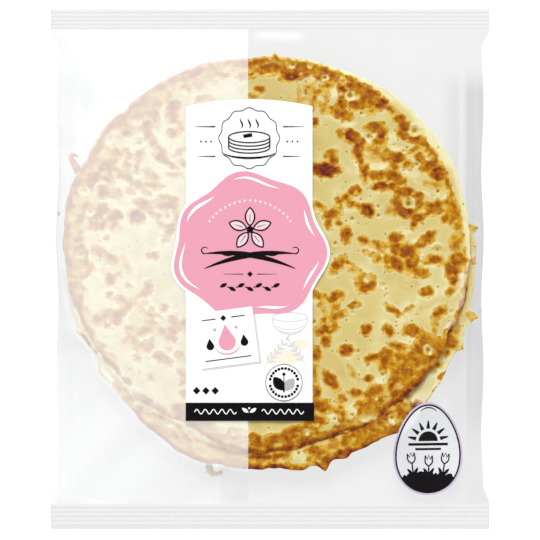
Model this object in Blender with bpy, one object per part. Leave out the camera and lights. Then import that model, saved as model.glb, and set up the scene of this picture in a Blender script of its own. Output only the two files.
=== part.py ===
"""A sealed clear pack of eight vanilla crepes, lying on its back with its label up.

The film is drawn tight over the stack, so the bag is one closed solid: the round stack in relief,
corners of film that slope down from it, and a crimped seal along the top and along the bottom.
+X is the label's right, +Y points to the top seal and +Z is up. The origin is the middle of the
bag's base, on the surface that the pack lies on.
"""

import math

import bmesh
import bpy
from mathutils import Vector

MM = 0.001

# The bag, seen from the front
BAG_HEIGHT = 225.4 * MM
SEAL_WIDTH = 190.2 * MM
BODY_WIDTH = 184.4 * MM
FLARE_LENGTH = 8.0 * MM
SIDE_WAVE = 0.5 * MM
SIDE_WAVE_LENGTH = 57.0 * MM

# The crimped seals
TOP_SEAL = 8.6 * MM
BOTTOM_SEAL = 9.5 * MM
BOTTOM_TRIM = 1.3 * MM
SEAL_RIDGES = 5
RIDGE_RELIEF = 0.35 * MM
SEAL_LEVEL = 5.5 * MM
FILM_THICKNESS = 0.8 * MM

# The stack of crepes inside, with its middle a little above the bag's. Each wave round a crepe's edge
# has its count, height and turn.
STACK_MIDDLE = Vector((0.0, 2.9 * MM))
STACK_THICKNESS = 14.5 * MM
CREPE_RADIUS = 86.0 * MM
TOP_CREPE_SHIFT = Vector((-1.2 * MM, 2.6 * MM))
TOP_CREPE_WAVES = ((5, 0.5 * MM, 0.4), (9, 0.35 * MM, 2.1), (14, 0.3 * MM, 4.0))
LOWER_CREPES_RADIUS = 88.5 * MM
LOWER_CREPES_SHIFT = Vector((0.9 * MM, -1.5 * MM))
LOWER_CREPES_WAVES = ((4, 0.4 * MM, 1.0), (11, 0.35 * MM, 0.3))
LEAST_LEDGE = 2.5 * MM
TOP_CREPE_STEP = 1.7 * MM
CREPE_SHOULDER = 1.5 * MM

# The film beside the stack turns round it where the margin is narrow, and slopes with low folds
# where it is wide
NARROW_MARGIN = 4.0 * MM
WIDE_MARGIN = 14.0 * MM
FILM_FOLDS = ((19, 0.40 * MM, 0.7), (31, 0.30 * MM, 2.4))

# How the bag's square mesh is divided
HALF_CELLS = 24
FLAT_RINGS = 15

# The printed label, on the flat of the stack
LABEL_LEFT = -36.2 * MM
LABEL_RIGHT = 18.3 * MM
LABEL_TOP = 70.2 * MM
LABEL_BOTTOM = -65.2 * MM
LABEL_ARCH = 3.1 * MM
LABEL_GAP = 0.3 * MM
LABEL_THICKNESS = 0.3 * MM
FIELD_RELIEF = 0.2 * MM
BAND_HEIGHT = 7.7 * MM
BAND_OVERHANG = 0.7 * MM
BAND_TRIM = 0.1 * MM
FLAVOUR_MIDDLE = Vector((-8.6 * MM, 9.5 * MM))
FLAVOUR_RADIUS = 32.0 * MM
FLAVOUR_STRETCH = 1.04
FLAVOUR_LOBES = ((7, 0.040, 0.5), (3, 0.030, 1.9))
CARD_MIDDLE = Vector((-18.7 * MM, -29.5 * MM))
CARD_SIZE = Vector((25.3 * MM, 24.0 * MM))
CARD_TILT = math.radians(7.5)
ROUNDEL_MIDDLE = Vector((6.0 * MM, -48.8 * MM))
ROUNDEL_RADIUS = 8.0 * MM

# The egg-shaped badge, on the film's lower right corner
BADGE_MIDDLE = Vector((68.4 * MM, -77.7 * MM))
BADGE_HALF_WIDTH = 15.0 * MM
BADGE_HALF_HEIGHT = 20.3 * MM
BADGE_TAPER = 0.16
BADGE_HALF_CELLS = 7

TOP_SEAL_LINE = BAG_HEIGHT / 2 - TOP_SEAL
BOTTOM_SEAL_LINE = BOTTOM_SEAL + BOTTOM_TRIM - BAG_HEIGHT / 2


def mix(a, b, share):
    return a + (b - a) * share


def smooth(share):
    """0 to 1 with a level start and end."""
    share = min(max(share, 0.0), 1.0)
    return share * share * (3.0 - 2.0 * share)


def ripple(angle, waves):
    """A sum of waves round a circle, each with its count, height and turn."""
    return sum(size * math.cos(count * angle + turn) for count, size, turn in waves)


def make_material(name, colour, roughness, alpha=1.0):
    material = bpy.data.materials.new(name)
    material.use_nodes = True
    shader = material.node_tree.nodes["Principled BSDF"]
    shader.inputs["Base Color"].default_value = (*colour, 1.0)
    shader.inputs["Roughness"].default_value = roughness
    shader.inputs["Metallic"].default_value = 0.0
    shader.inputs["Alpha"].default_value = alpha
    return material


def add_object(name, mesh, collection, materials=()):
    made = bpy.data.objects.new(name, mesh)
    collection.objects.link(made)
    for material in materials:
        mesh.materials.append(material)
    return made


# The bag's outline and the stack's, as functions


def body_edge(y):
    """Half the bag's width at a height between the seals."""
    from_seal = min(TOP_SEAL_LINE - y, y - BOTTOM_SEAL_LINE)
    flare = smooth(1.0 - from_seal / FLARE_LENGTH)
    wave = SIDE_WAVE * math.sin(2 * math.pi * y / SIDE_WAVE_LENGTH) * (1.0 - flare)
    return mix(BODY_WIDTH, SEAL_WIDTH, flare) / 2 + wave


def outline_point(across, up):
    """The point of the body's outline for a place on the square from -1 to 1, which has a side at 1."""
    y = mix(BOTTOM_SEAL_LINE, TOP_SEAL_LINE, (up + 1) / 2)
    return Vector((across * body_edge(y), y))


def top_crepe_edge(angle):
    """How far the top crepe reaches from the stack's middle."""
    shift = TOP_CREPE_SHIFT.x * math.cos(angle) + TOP_CREPE_SHIFT.y * math.sin(angle)
    return CREPE_RADIUS + shift + ripple(angle, TOP_CREPE_WAVES)


def stack_edge(angle):
    """How far the crepes under it reach."""
    shift = LOWER_CREPES_SHIFT.x * math.cos(angle) + LOWER_CREPES_SHIFT.y * math.sin(angle)
    lower = LOWER_CREPES_RADIUS + shift + ripple(angle, LOWER_CREPES_WAVES)
    return max(lower, top_crepe_edge(angle) + LEAST_LEDGE)


def slope_share(margin):
    """The film turns round the stack where the margin beside it is narrow, 0, and slopes where it is
    wide, 1."""
    return smooth((margin - NARROW_MARGIN) / (WIDE_MARGIN - NARROW_MARGIN))


def film_fall(share, margin):
    """The film's height from the stack's edge, 1, to the bag's outline, 0."""
    turn = math.sqrt(max(0.0, 1.0 - share * share))
    return mix(turn, (1.0 - share) ** 1.2, slope_share(margin))


def film_levels(radius, angle, bag_edge):
    """The heights of the bag's upper and lower surface at a distance and angle from the stack's middle."""
    crepe = top_crepe_edge(angle)
    stack = stack_edge(angle)
    ledge = STACK_THICKNESS - TOP_CREPE_STEP
    if radius <= stack:
        step = smooth((radius - crepe + CREPE_SHOULDER) / (2 * CREPE_SHOULDER))
        return mix(STACK_THICKNESS, ledge, step), 0.0
    share = min((radius - stack) / (bag_edge - stack), 1.0)
    fall = film_fall(share, bag_edge - stack)
    fold = ripple(angle, FILM_FOLDS) * math.sin(math.pi * share) * slope_share(bag_edge - stack)
    upper = mix(SEAL_LEVEL + FILM_THICKNESS / 2, ledge, fall) + fold
    lower = (SEAL_LEVEL - FILM_THICKNESS / 2) * (1.0 - fall)
    return upper, lower


def edge_towards(direction):
    """The distance from the stack's middle to the body's outline in a direction."""
    x_room = BODY_WIDTH / 2
    y_room = (TOP_SEAL_LINE if direction.y > 0 else BOTTOM_SEAL_LINE) - STACK_MIDDLE.y
    reach = min(
        x_room / max(abs(direction.x), 1e-9),
        abs(y_room) / max(abs(direction.y), 1e-9),
    )
    for _ in range(8):
        y = STACK_MIDDLE.y + reach * direction.y
        reach = min(reach, body_edge(y) / max(abs(direction.x), 1e-9))
    return reach


def film_top(x, y):
    """The height of the bag's upper surface over any point of its body."""
    away = Vector((x, y)) - STACK_MIDDLE
    if away.length < CREPE_RADIUS / 2:
        return STACK_THICKNESS
    angle = math.atan2(away.y, away.x)
    return film_levels(away.length, angle, edge_towards(away.normalized()))[0]


# The bag, from a grid whose square rings become the rings of the stack and of the film


def ring_radius(ring, angle, bag_edge):
    """The flat of the stack has FLAT_RINGS rings, its ledge three, and the film beside it the rest."""
    crepe = top_crepe_edge(angle)
    stack = stack_edge(angle)
    ledge = (crepe - CREPE_SHOULDER, crepe, crepe + CREPE_SHOULDER, stack)
    if ring < FLAT_RINGS:
        return ledge[0] * ring / FLAT_RINGS
    if ring < FLAT_RINGS + len(ledge):
        return ledge[ring - FLAT_RINGS]
    ledge_end = FLAT_RINGS + len(ledge) - 1
    share = (ring - ledge_end) / (HALF_CELLS - ledge_end)
    share = mix(math.sin(share * math.pi / 2), share, slope_share(bag_edge - stack))
    return mix(stack, bag_edge, share)


def body_corner(column, row, is_upper):
    """Where a grid corner between the seals goes."""
    ring = max(abs(column), abs(row))
    if ring == 0:
        return Vector((*STACK_MIDDLE, STACK_THICKNESS if is_upper else 0.0))
    away = outline_point(column / ring, row / ring) - STACK_MIDDLE
    angle = math.atan2(away.y, away.x)
    radius = ring_radius(ring, angle, away.length)
    place = STACK_MIDDLE + away.normalized() * radius
    upper, lower = film_levels(radius, angle, away.length)
    return Vector((*place, upper if is_upper else lower))


def seal_corner(column, step, is_top, is_upper):
    """Where a grid corner on a seal goes: step counts half ridges out from the seal's inner line."""
    ridge_rows = 2 * SEAL_RIDGES
    if is_top:
        y = TOP_SEAL_LINE + TOP_SEAL * step / ridge_rows
    else:
        on_ridges = min(step, ridge_rows)
        y = BOTTOM_SEAL_LINE - BOTTOM_SEAL * on_ridges / ridge_rows
        y -= BOTTOM_TRIM * (step - on_ridges)
    lift = RIDGE_RELIEF if step % 2 and step < ridge_rows else 0.0
    side = FILM_THICKNESS / 2 if is_upper else -FILM_THICKNESS / 2
    return Vector((SEAL_WIDTH / 2 * column / HALF_CELLS, y, SEAL_LEVEL + side + lift))


def bag_mesh():
    rows_above = 2 * SEAL_RIDGES
    rows_below = 2 * SEAL_RIDGES + 1
    columns = 2 * HALF_CELLS
    rows = columns + rows_above + rows_below
    shape = bmesh.new()
    bmesh.ops.create_grid(shape, x_segments=columns, y_segments=rows, size=1.0)
    corners = list(shape.verts)
    upper = bmesh.ops.extrude_face_region(shape, geom=list(shape.faces))
    upper = {v for v in upper["geom"] if isinstance(v, bmesh.types.BMVert)}
    for v in corners + list(upper):
        column = round((v.co.x + 1) / 2 * columns) - HALF_CELLS
        row = round((v.co.y + 1) / 2 * rows) - HALF_CELLS - rows_below
        beyond = abs(row) - HALF_CELLS
        if beyond > 0:
            v.co = seal_corner(column, beyond, row > 0, v in upper)
        else:
            v.co = body_corner(column, row, v in upper)
    bmesh.ops.recalc_face_normals(shape, faces=list(shape.faces))
    mesh = bpy.data.meshes.new("bag")
    shape.to_mesh(mesh)
    shape.free()
    return mesh


def colour_bag(mesh):
    """Film over the crepes takes their colour, and milky film covers the left of the front."""
    film, crepe, milky = range(3)
    milky_edge = (LABEL_LEFT + LABEL_RIGHT) / 2
    for face in mesh.polygons:
        away = face.center.to_2d() - STACK_MIDDLE
        over_crepes = away.length < stack_edge(math.atan2(away.y, away.x))
        between_seals = BOTTOM_SEAL_LINE < face.center.y < TOP_SEAL_LINE
        if face.normal.z > 0 and between_seals and face.center.x < milky_edge:
            face.material_index = milky
        else:
            face.material_index = crepe if over_crepes else film


# The label, from flat outlines that are joined


def flat_plate(name, outline, low, high, collection, material):
    """A plate with this outline of (x, y) points, from the height low to high."""
    curve = bpy.data.curves.new(name, "CURVE")
    curve.dimensions = "2D"
    curve.fill_mode = "BOTH"
    curve.extrude = (high - low) / 2
    spline = curve.splines.new("POLY")
    spline.points.add(len(outline) - 1)
    for point, (x, y) in zip(spline.points, outline):
        point.co = (x, y, 0.0, 1.0)
    spline.use_cyclic_u = True
    guide = bpy.data.objects.new(name + "_outline", curve)
    collection.objects.link(guide)
    guide.location.z = (low + high) / 2
    bpy.context.view_layer.update()
    graph = bpy.context.evaluated_depsgraph_get()
    mesh = bpy.data.meshes.new_from_object(guide.evaluated_get(graph))
    mesh.transform(guide.matrix_world)
    bpy.data.objects.remove(guide)
    shape = bmesh.new()
    shape.from_mesh(mesh)
    bmesh.ops.remove_doubles(shape, verts=list(shape.verts), dist=0.001 * MM)
    shape.to_mesh(mesh)
    shape.free()
    mesh.materials.clear()
    return add_object(name, mesh, collection, [material])


def rectangle(left, right, bottom, top):
    return [(left, bottom), (right, bottom), (right, top), (left, top)]


def arched_panel():
    """The label's panel, with an arc along its top."""
    half = (LABEL_RIGHT - LABEL_LEFT) / 2
    radius = (half**2 + LABEL_ARCH**2) / (2 * LABEL_ARCH)
    middle = ((LABEL_LEFT + LABEL_RIGHT) / 2, LABEL_TOP + LABEL_ARCH - radius)
    spread = math.asin(half / radius)
    steps = 16
    arc = [
        (middle[0] + radius * math.sin(turn), middle[1] + radius * math.cos(turn))
        for turn in (mix(spread, -spread, i / steps) for i in range(steps + 1))
    ]
    return [(LABEL_LEFT, LABEL_BOTTOM), (LABEL_RIGHT, LABEL_BOTTOM), *arc]


def round_outline(middle, radius, steps, lobes=(), stretch=1.0):
    """Points round a circle, or round a blot whose lobes are given as shares of its radius."""
    points = []
    for step in range(steps):
        turn = 2 * math.pi * step / steps
        reach = radius * (1.0 + ripple(turn, lobes))
        points.append((middle.x + stretch * reach * math.cos(turn), middle.y + reach * math.sin(turn)))
    return points


def tilted_card():
    half_x, half_y = CARD_SIZE / 2
    corners = rectangle(-half_x, half_x, -half_y, half_y)
    cos, sin = math.cos(CARD_TILT), math.sin(CARD_TILT)
    return [
        (CARD_MIDDLE.x + x * cos - y * sin, CARD_MIDDLE.y + x * sin + y * cos) for x, y in corners
    ]


def join_raised(base, fields, name):
    """Unites the fields with the base, by one Boolean on their collection, and removes them."""
    join = base.modifiers.new("fields", "BOOLEAN")
    join.operation = "UNION"
    join.operand_type = "COLLECTION"
    join.material_mode = "TRANSFER"
    join.collection = fields
    bpy.context.view_layer.update()
    graph = bpy.context.evaluated_depsgraph_get()
    joined = bpy.data.meshes.new_from_object(base.evaluated_get(graph))
    joined.name = name
    base.modifiers.clear()
    base.data = joined
    for field in list(fields.objects):
        bpy.data.objects.remove(field)
    bpy.data.collections.remove(fields)


def make_label(collection, materials):
    """One thin label: a white panel, with each field of colour a little proud of it."""
    low = STACK_THICKNESS + LABEL_GAP
    high = low + LABEL_THICKNESS
    panel = flat_plate("label", arched_panel(), low, high, collection, materials["white"])
    fields = bpy.data.collections.new("label_fields")
    bpy.context.scene.collection.children.link(fields)
    blot = round_outline(FLAVOUR_MIDDLE, FLAVOUR_RADIUS, 84, FLAVOUR_LOBES, FLAVOUR_STRETCH)
    band = rectangle(
        LABEL_LEFT - BAND_TRIM,
        LABEL_RIGHT + BAND_OVERHANG,
        LABEL_BOTTOM - BAND_TRIM,
        LABEL_BOTTOM + BAND_HEIGHT,
    )
    outlines = (
        ("flavour_field", blot, 1, "pink"),
        ("footer_band", band, 1, "black"),
        ("card", tilted_card(), 2, "white"),
        ("roundel", round_outline(ROUNDEL_MIDDLE, ROUNDEL_RADIUS, 28), 2, "white"),
    )
    for name, outline, layers, colour in outlines:
        top = high + layers * FIELD_RELIEF
        flat_plate(name, outline, low, top, fields, materials[colour])
    join_raised(panel, fields, "label")
    return panel


# The badge, a thin egg that follows the sloping film


def badge_corner(column, row):
    """Where a corner of the badge's square grid goes, seen from the front."""
    ring = max(abs(column), abs(row))
    if ring == 0:
        return BADGE_MIDDLE.copy()
    turn = math.atan2(row, column)
    share = ring / BADGE_HALF_CELLS
    narrowing = 1.0 - BADGE_TAPER * math.sin(turn)
    x = BADGE_HALF_WIDTH * math.cos(turn) * narrowing * share
    y = BADGE_HALF_HEIGHT * math.sin(turn) * share
    return BADGE_MIDDLE + Vector((x, y))


def height_over_film(place, reach):
    """The film's highest point within reach of a place, so that no facet between cuts into it."""
    beside = ((0, 0), (reach, 0), (-reach, 0), (0, reach), (0, -reach))
    return max(film_top(place.x + dx, place.y + dy) for dx, dy in beside)


def badge_mesh():
    cells = 2 * BADGE_HALF_CELLS
    spacing = BADGE_HALF_HEIGHT / BADGE_HALF_CELLS
    shape = bmesh.new()
    bmesh.ops.create_grid(shape, x_segments=cells, y_segments=cells, size=1.0)
    lower = list(shape.verts)
    upper = bmesh.ops.extrude_face_region(shape, geom=list(shape.faces))
    upper = {v for v in upper["geom"] if isinstance(v, bmesh.types.BMVert)}
    for v in lower + list(upper):
        column = round(v.co.x * BADGE_HALF_CELLS)
        row = round(v.co.y * BADGE_HALF_CELLS)
        place = badge_corner(column, row)
        level = height_over_film(place, spacing) + LABEL_GAP
        v.co = Vector((*place, level + (LABEL_THICKNESS if v in upper else 0.0)))
    bmesh.ops.recalc_face_normals(shape, faces=list(shape.faces))
    mesh = bpy.data.meshes.new("egg_badge")
    shape.to_mesh(mesh)
    shape.free()
    return mesh


def main():
    for old in list(bpy.data.objects):
        bpy.data.objects.remove(old)
    pack = bpy.data.collections.new("pack_of_crepes")
    bpy.context.scene.collection.children.link(pack)
    materials = {
        "film": make_material("clear_film", (0.84, 0.85, 0.86), 0.15, 0.45),
        "crepe": make_material("crepe_under_film", (0.78, 0.58, 0.24), 0.35),
        "milky": make_material("milky_film", (0.92, 0.90, 0.84), 0.30),
        "white": make_material("white_print", (0.93, 0.93, 0.93), 0.35),
        "pink": make_material("pink_print", (0.89, 0.39, 0.51), 0.35),
        "black": make_material("black_print", (0.012, 0.012, 0.012), 0.35),
    }
    bag = bag_mesh()
    add_object("bag", bag, pack, [materials[n] for n in ("film", "crepe", "milky")])
    colour_bag(bag)
    bag.shade_smooth()
    bag.set_sharp_from_angle(angle=math.radians(40))
    make_label(pack, materials)
    add_object("egg_badge", badge_mesh(), pack, [materials["white"]])


main()
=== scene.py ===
"""The looks of a sealed clear pack of eight vanilla crepes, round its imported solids.

The bag's solid becomes clear film round eight separate crepes, with a milky white print over the left
half. The label and the badge become flat sheets of ink. Lengths are written in millimetres, times MM,
and heights are over the surface that the pack lies on.
"""

import math

import bmesh
import bpy
import numpy as np
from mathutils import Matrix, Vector


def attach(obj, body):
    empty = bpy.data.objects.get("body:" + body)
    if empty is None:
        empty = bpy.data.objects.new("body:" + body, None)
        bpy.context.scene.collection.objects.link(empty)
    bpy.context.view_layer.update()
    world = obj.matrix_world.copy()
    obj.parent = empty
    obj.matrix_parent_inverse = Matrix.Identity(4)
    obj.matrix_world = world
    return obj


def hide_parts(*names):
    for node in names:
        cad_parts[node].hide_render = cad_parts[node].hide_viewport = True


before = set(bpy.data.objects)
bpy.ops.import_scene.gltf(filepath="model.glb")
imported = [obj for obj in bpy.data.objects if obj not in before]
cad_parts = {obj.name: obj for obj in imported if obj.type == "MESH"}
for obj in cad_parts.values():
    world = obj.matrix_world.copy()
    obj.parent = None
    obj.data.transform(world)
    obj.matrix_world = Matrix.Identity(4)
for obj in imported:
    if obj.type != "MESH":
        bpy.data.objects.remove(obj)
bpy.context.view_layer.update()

MM = 0.001

# The photo's frame, seen at the height between the seals and the stack's top
PHOTO_WIDTH = 233.66 * MM
PHOTO_MIDDLE_Y = -0.35 * MM
SHARP_HEIGHT = 9.0 * MM
LENS = 180.0
SENSOR = 36.0

# The bag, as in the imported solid
BAG_HEIGHT = 225.4 * MM
SEAL_WIDTH = 190.2 * MM
BODY_WIDTH = 184.4 * MM
FLARE_LENGTH = 8.0 * MM
SIDE_WAVE = 0.5 * MM
SIDE_WAVE_LENGTH = 57.0 * MM
TOP_SEAL = 8.6 * MM
BOTTOM_SEAL = 9.5 * MM
BOTTOM_TRIM = 1.3 * MM
SEAL_RIDGES = 5
RIDGE_RELIEF = 0.35 * MM
SEAL_LEVEL = 5.5 * MM
STACK_MIDDLE = (0.0, 2.9 * MM)
STACK_THICKNESS = 14.5 * MM
TOP_CREPE_STEP = 1.7 * MM
CREPE_SHOULDER = 1.5 * MM
NARROW_MARGIN = 4.0 * MM
WIDE_MARGIN = 14.0 * MM
FILM_FOLDS = ((19, 0.40 * MM, 0.7), (31, 0.30 * MM, 2.4))
FOLDS_BLEND = 3.0 * MM
SEAL_BLEND = 1.5 * MM
TOP_SEAL_LINE = BAG_HEIGHT / 2 - TOP_SEAL
BOTTOM_SEAL_LINE = BOTTOM_SEAL + BOTTOM_TRIM - BAG_HEIGHT / 2

# The film's mesh: half its cells across, and the shares of them on the stack and its ledge
FILM_HALF_CELLS = 84
FLAT_SHARE = 0.34
LEDGE_SHARE = 0.46
RIDGE_ROWS = 6
FILM_GAP = 0.10 * MM
FILM_BASE = 0.25 * MM

# Low folds in the film: gathers by the seals, folds along the sides, and the seals' sway
GATHER_LENGTH = 9.0 * MM
GATHER_SIZE = 9.0 * MM
GATHER_HEIGHT = 0.30 * MM
GATHER_LEAN = 0.35
GATHER_STRETCH = 0.15
SIDE_FOLDS_START = 78 * MM
SIDE_FOLDS_RISE = 6 * MM
SIDE_FOLD_SIZE = 3.0 * MM
SIDE_FOLD_HEIGHT = 0.10 * MM
SIDE_FOLD_STRETCH = 0.05
SEAL_SWAY = 0.3 * MM
SEAL_SWAY_LENGTH = 44 * MM

# The painted highlight on the seals' ridges, how dark each seal is, and the painted shade on the film
# folded along the sides, with a painted light streak beside it: how far from the middle that starts, over
# what width, and how much
RIDGE_HIGHLIGHT = 0.16
TOP_SEAL_SHADE = 0.07
BOTTOM_SEAL_SHADE = 0.11
BROAD_START = 72 * MM
BROAD_RISE = 10 * MM
BROAD_SHADE = 0.34
FOLDED_START = 84.4 * MM
FOLDED_RISE = 1.6 * MM
FOLDED_SHADE = 0.60
FOLDED_GRAIN = 2.2 * MM
HIGHLIGHT_STREAK_OUT = 83.3 * MM
HIGHLIGHT_STREAK_WIDTH = 1.1 * MM
LEFT_SHADE = 0.48
SHADE_END = 89 * MM
SHADE_END_FADE = 14 * MM
SHADE_FOOT = -84 * MM
SHADE_FOOT_FADE = 30 * MM
HIGHLIGHT_STREAK_FOOT = -30 * MM
HIGHLIGHT_STREAK_FADE = 40 * MM

# Painted highlights where folds of the film catch the light: the two ends' x and y, the half width and the
# strength
GLINTS = (
    (-9.0, 101.6, 17.0, 100.6, 2.2, 0.40),
    (-17.0, -95.2, 19.0, -101.6, 1.7, 0.42),
    (6.0, -99.6, 17.5, -101.8, 1.0, 0.25),
    (83.6, 1.0, 82.4, -18.0, 0.9, 0.42),
    (78.9, -21.0, 77.2, -25.4, 0.9, 0.40),
    (87.2, 8.5, 88.0, 3.0, 0.6, 0.32),
    (65.6, -55.6, 63.6, -58.4, 0.8, 0.40),
    (-73.0, -43.5, -63.0, -51.0, 1.1, 0.34),
    (-63.0, -48.5, -54.0, -57.5, 1.0, 0.34),
    (-54.5, -58.5, -48.5, -62.5, 1.0, 0.34),
    (-46.5, -64.0, -39.0, -69.0, 0.9, 0.34),
    (-36.5, -68.5, -31.0, -73.5, 1.1, 0.34),
)

# The milky print on the film's left half
MILKY_EDGE = -9.4 * MM
MILKY_LIFT = 0.06 * MM
MILKY_COVER = 0.52

# The seam along the back
SEAM_MIDDLE = -15.5 * MM
SEAM_WIDTH = 12.0 * MM
SEAM_GAP = 0.12 * MM
SEAM_RIB_HEIGHT = 0.02 * MM
SEAM_RIB_SPACING = 2.0 * MM
SEAM_HAZE = 0.05

# The crepes, counted from the bottom
CREPE_COUNT = 8
FIRST_CREPE_LEVEL = 0.98 * MM
CREPE_PITCH = 1.70 * MM
CREPE_THICKNESS = 1.30 * MM
RIM_SAG = 0.42 * MM
SAG_WIDTH = 7.0 * MM
PRESSED_SAG = 0.46 * MM
RIM_SHARE = 0.78
PRESSED_SHARE = 0.50
THINNING_WIDTH = 5 * MM
EDGE_ROUND = 0.6 * MM
EDGE_FADING = 0.09
EDGE_ROWS = 5
WHOLE_FACES = (1, CREPE_COUNT)
HIGHEST_RELIEF = 0.75
LOWEST_CREPE_RELIEF = 0.04
CREPE_VALUES = ("spot_depth", "spot_dark", "lightness", "bubble")

# What a white surface shows in this light, how much of it the film lets through, and how much light
# the gloss adds everywhere
LIGHT_LEVEL = 1.22
FILM_PASS = 0.926
VEIL = 0.008


def mix(a, b, share):
    return a + (b - a) * share


def smooth(share):
    """0 to 1 with a level start and end."""
    share = np.clip(share, 0.0, 1.0)
    return share * share * (3.0 - 2.0 * share)


def ripple(angle, waves):
    """A sum of waves round a circle, each with its count, height and turn."""
    return sum(size * np.cos(count * angle + turn) for count, size, turn in waves)


# Smooth noise from seeded tables of slopes

NOISE_TABLE = 64


def noise(x, y, cell, seed):
    """Smooth noise from about -1 to 1 whose blots are about one cell wide."""
    table = np.random.default_rng(seed).uniform(0.0, 2 * math.pi, (NOISE_TABLE, NOISE_TABLE))
    turn = 0.6 + seed
    u = (x * math.cos(turn) - y * math.sin(turn)) / cell
    v = (x * math.sin(turn) + y * math.cos(turn)) / cell
    column, row = np.floor(u).astype(int), np.floor(v).astype(int)
    u, v = u - column, v - row

    def corner(right, above):
        slope = table[(column + right) % NOISE_TABLE, (row + above) % NOISE_TABLE]
        return np.cos(slope) * (u - right) + np.sin(slope) * (v - above)

    across, up = smooth(u), smooth(v)
    low = mix(corner(0, 0), corner(1, 0), across)
    high = mix(corner(0, 1), corner(1, 1), across)
    return 1.6 * mix(low, high, up)


def layered_noise(x, y, cell, seed, layers):
    """Noise with finer and weaker layers on it, from about -1 to 1."""
    return sum(noise(x, y, cell / 2**i, seed + i) / 2**i for i in range(layers)) / 1.3


def blurred(values, steps):
    """Values round a circle, each a mean of those up to this many steps away."""
    weights = np.hanning(2 * steps + 3)[1:-1]
    padded = np.concatenate([values[-steps:], values, values[:steps]])
    return np.convolve(padded, weights / weights.sum(), "valid")


def polar(x, y):
    away_x, away_y = x - STACK_MIDDLE[0], y - STACK_MIDDLE[1]
    return np.hypot(away_x, away_y), np.arctan2(away_y, away_x)


# The crepes' outlines round the stack's middle, as angles in degrees and reaches in millimetres. Those
# that aren't listed are hidden under these.

EDGE_ANGLES = np.linspace(-180.0, 180.0, 1440, endpoint=False)
EDGE_BLUR = 5
HIDDEN_REACH = 85.0
USUAL_REACH = 88
CREPE_EDGES = {
    8: (
        (-180, 88.0), (-170, 86.6), (-160, 84.5), (-150, 82.5), (-139, 80.3), (-134, 81.8), (-126, 80.0),
        (-118, 78.2), (-108, 80.6), (-96, 82.8), (-83, 81.2), (-74, 80.0), (-68, 80.1), (-64, 81.1),
        (-60.5, 81.5), (-56.5, 82.0), (-53.5, 81.9), (-50.5, 80.6), (-48, 82.0), (-45, 82.4),
        (-42.5, 82.3), (-39, 83.2), (-35.5, 83.0), (-31, 83.8), (-27, 84.6), (-25, 84.2), (-21.5, 81.9),
        (-18, 84.6), (-11, 84.9), (-4, 85.4), (2, 86.4), (8, 87.0), (13, 87.6), (18, 88.0), (23, 89.0),
        (28, 89.9), (34, 89.9), (40, 89.7), (48, 89.8), (56, 89.7), (61, 89.6), (66, 88.9), (71, 88.4),
        (76, 88.9), (80, 89.2), (84, 88.5), (89, 89.0), (96, 88.6), (104, 89.5), (108, 90.2), (112, 88.4),
        (118.5, 91.2), (122.9, 89.9), (127, 90.8), (131.2, 91.2), (133.5, 88.4), (136.2, 89.4),
        (138, 91.4), (142.8, 91.4), (146, 88.9), (152, 91.0), (158, 91.0), (163, 91.0), (168, 90.0),
        (171, 89.0), (174.4, 89.4), (180, 88.0),
    ),
    7: (
        (-180, 88.6), (-168, 87.4), (-160, 88.2), (-153, 84.9), (-147.4, 88.0), (-144, 86.9),
        (-140, 86.8), (-133.4, 87.3), (-128.6, 88.7), (-121, 89.3), (-115, 91.0), (-110, 91.4),
        (-104, 89.9), (-95.4, 89.8), (-87, 88.9), (-83.6, 90.4), (-80.7, 91.0), (-78.7, 89.6),
        (-77.2, 89.9), (-73.6, 91.2), (-72.2, 89.4), (-70.8, 89.6), (-68.6, 90.7), (-65.8, 89.5),
        (-62.6, 89.8), (-57, 90.2), (-52, 92.6), (-49, 92.2), (-47.3, 90.6), (-46, 87.0), (-45, 82.0),
        (-22, 81.0), (-18, 84.4), (-13, 86.1), (-5, 86.0), (0, 85.4), (20, 84.0), (60, 86.2), (100, 88.6),
        (108, 90.6), (120, 91.0), (127, 91.2), (133, 91.6), (140, 92.2), (146, 92.2), (150, 90.9),
        (155, 91.6), (160, 92.2), (166, 91.6), (170, 90.2), (175, 90.1), (180, 88.6),
    ),
    6: (
        (-180, 86.0), (-140, 84.6), (-100, 86.0), (-60, 87.0), (-50, 89.4), (-47, 91.4), (-44, 91.2),
        (-41.5, 90.8), (-37.8, 90.4), (-34, 89.8), (-30, 89.1), (-26.5, 88.6), (-23, 90.6), (-19, 89.2),
        (-16.4, 89.2), (-12.3, 88.3), (-8, 88.8), (-4, 88.9), (-0.6, 88.5), (2.7, 89.4), (5.3, 89.8),
        (7.9, 88.0), (12, 87.0), (18, 86.8), (24, 87.6), (30, 88.4), (40, 88.3), (56, 88.2), (66, 87.6),
        (76, 87.6), (90, 86.6), (140, 86.0), (180, 86.0),
    ),
}

# Nubs of batter on the edges: the angle and half width in degrees, and the height in millimetres
NUBS = {
    8: ((88.6, 0.8, 1.5),),
    7: ((-75.2, 1.2, 2.8), (-160.5, 0.8, 0.8)),
    6: (
        (9.5, 1.15, 3.6), (-0.3, 0.6, 0.9), (-14.8, 1.25, 4.4), (-16.6, 0.7, 1.4), (-22.4, 0.6, 1.0),
        (-24.2, 0.8, 2.2),
    ),
}


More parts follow.
